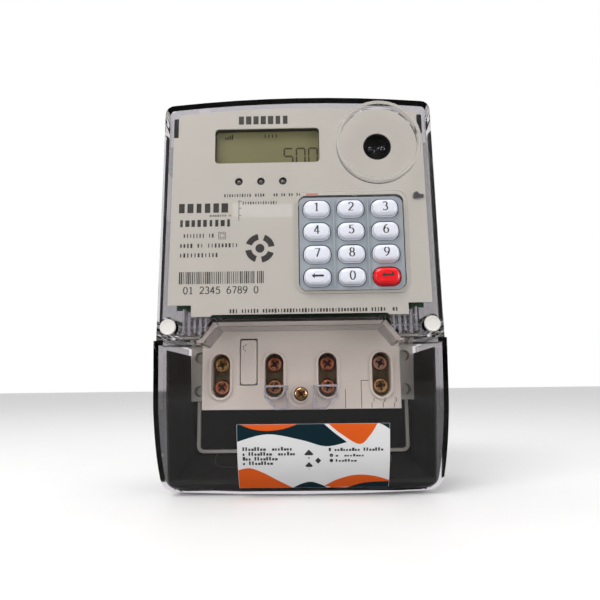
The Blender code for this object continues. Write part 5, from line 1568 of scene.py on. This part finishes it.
def build_stage():
    """Floor, camera, room and lights."""
    bpy.context.scene.view_settings.view_transform = "Standard"
    build_floor()
    build_camera()
    build_room()
    stage = bpy.context.scene.meter_stage
    middle = (0, -0.04, 0)
    area_light("key_light", (-0.35, -0.60, 0.85), middle, (0.5, 0.4), stage.key_light, (1.0, 0.99, 0.97))
    area_light("left_light", (-0.78, -0.60, 0.02), middle, (0.3, 0.55), stage.side_light, (1.0, 0.985, 0.97))
    area_light("right_light", (0.78, -0.60, 0.02), middle, (0.3, 0.55), stage.side_light * 1.25)
    front = area_light("front_light", (0.02, -0.95, -0.06), middle, (0.3, 0.3), stage.front_light)
    front.visible_glossy = False
    front.visible_transmission = False
    area_light("strip_light", (-0.10, -1.0, 0.36), (-0.02, -0.07, 0.04), (0.14, 0.03), stage.strip_light)


# ---- operators, panel and registration ---------------------------------------
class METER_OT_case(bpy.types.Operator):
    """Build the base, hanger, wiring frame and cable tray"""

    bl_idname = "meter.case"
    bl_label = "Case"

    def execute(self, context):
        build_case()
        return {"FINISHED"}


class METER_OT_electronics(bpy.types.Operator):
    """Build the boards and components"""

    bl_idname = "meter.electronics"
    bl_label = "Electronics"

    def execute(self, context):
        build_electronics()
        return {"FINISHED"}


class METER_OT_terminals(bpy.types.Operator):
    """Build the terminal block and box clamps"""

    bl_idname = "meter.terminals"
    bl_label = "Terminals"

    def execute(self, context):
        build_terminals()
        return {"FINISHED"}


class METER_OT_screws(bpy.types.Operator):
    """Build every cross-head screw"""

    bl_idname = "meter.screws"
    bl_label = "Screws"

    def execute(self, context):
        build_screws()
        return {"FINISHED"}


class METER_OT_tamper(bpy.types.Operator):
    """Build the tamper lever and its switch"""

    bl_idname = "meter.tamper"
    bl_label = "Tamper lever"

    def execute(self, context):
        build_tamper()
        return {"FINISHED"}


class METER_OT_display(bpy.types.Operator):
    """Build the display and its digits"""

    bl_idname = "meter.display"
    bl_label = "Display"

    def execute(self, context):
        build_display_pieces()
        return {"FINISHED"}


class METER_OT_lamps(bpy.types.Operator):
    """Build the lamps and the optical port"""

    bl_idname = "meter.lamps"
    bl_label = "Lamps"

    def execute(self, context):
        build_lamps()
        return {"FINISHED"}


class METER_OT_nameplate(bpy.types.Operator):
    """Build the nameplate and its print"""

    bl_idname = "meter.nameplate"
    bl_label = "Nameplate"

    def execute(self, context):
        build_nameplate()
        return {"FINISHED"}


class METER_OT_keypad(bpy.types.Operator):
    """Build the mat, keys and legends"""

    bl_idname = "meter.keypad"
    bl_label = "Keypad"

    def execute(self, context):
        build_keypad()
        return {"FINISHED"}


class METER_OT_main_cover(bpy.types.Operator):
    """Build the clear main cover, gasket and plugs"""

    bl_idname = "meter.main_cover"
    bl_label = "Main cover"

    def execute(self, context):
        build_main_cover()
        return {"FINISHED"}


class METER_OT_terminal_cover(bpy.types.Operator):
    """Build the clear terminal cover"""

    bl_idname = "meter.terminal_cover"
    bl_label = "Terminal cover"

    def execute(self, context):
        build_terminal_cover()
        return {"FINISHED"}


class METER_OT_sticker(bpy.types.Operator):
    """Build the sticker on the terminal cover"""

    bl_idname = "meter.sticker"
    bl_label = "Sticker"

    def execute(self, context):
        build_sticker()
        return {"FINISHED"}


class METER_OT_stage(bpy.types.Operator):
    """Build the floor, camera and lights"""

    bl_idname = "meter.stage"
    bl_label = "Stage"

    def execute(self, context):
        build_stage()
        return {"FINISHED"}


OPERATORS = [
    METER_OT_case,
    METER_OT_electronics,
    METER_OT_terminals,
    METER_OT_screws,
    METER_OT_tamper,
    METER_OT_display,
    METER_OT_lamps,
    METER_OT_nameplate,
    METER_OT_keypad,
    METER_OT_main_cover,
    METER_OT_terminal_cover,
    METER_OT_sticker,
    METER_OT_stage,
]


class METER_PT_panel(bpy.types.Panel):
    """Lists the builders of the meter's pieces"""

    bl_label = "Keypad meter"
    bl_idname = "METER_PT_panel"
    bl_space_type = "VIEW_3D"
    bl_region_type = "UI"
    bl_category = "Meter"

    def draw(self, context):
        for kind in OPERATORS:
            self.layout.operator(kind.bl_idname)


CLASSES = [MeterSizes, MeterColours, MeterStage, METER_PT_panel] + OPERATORS


def register():
    for kind in CLASSES:
        bpy.utils.register_class(kind)
    bpy.types.Scene.meter_sizes = PointerProperty(type=MeterSizes)
    bpy.types.Scene.meter_colours = PointerProperty(type=MeterColours)
    bpy.types.Scene.meter_stage = PointerProperty(type=MeterStage)


def unregister():
    del bpy.types.Scene.meter_stage
    del bpy.types.Scene.meter_colours
    del bpy.types.Scene.meter_sizes
    for kind in reversed(CLASSES):
        bpy.utils.unregister_class(kind)


def main():
    register()
    for kind in OPERATORS:
        group, name = kind.bl_idname.split(".")
        getattr(getattr(bpy.ops, group), name)()


if __name__ == "__main__":
    main()
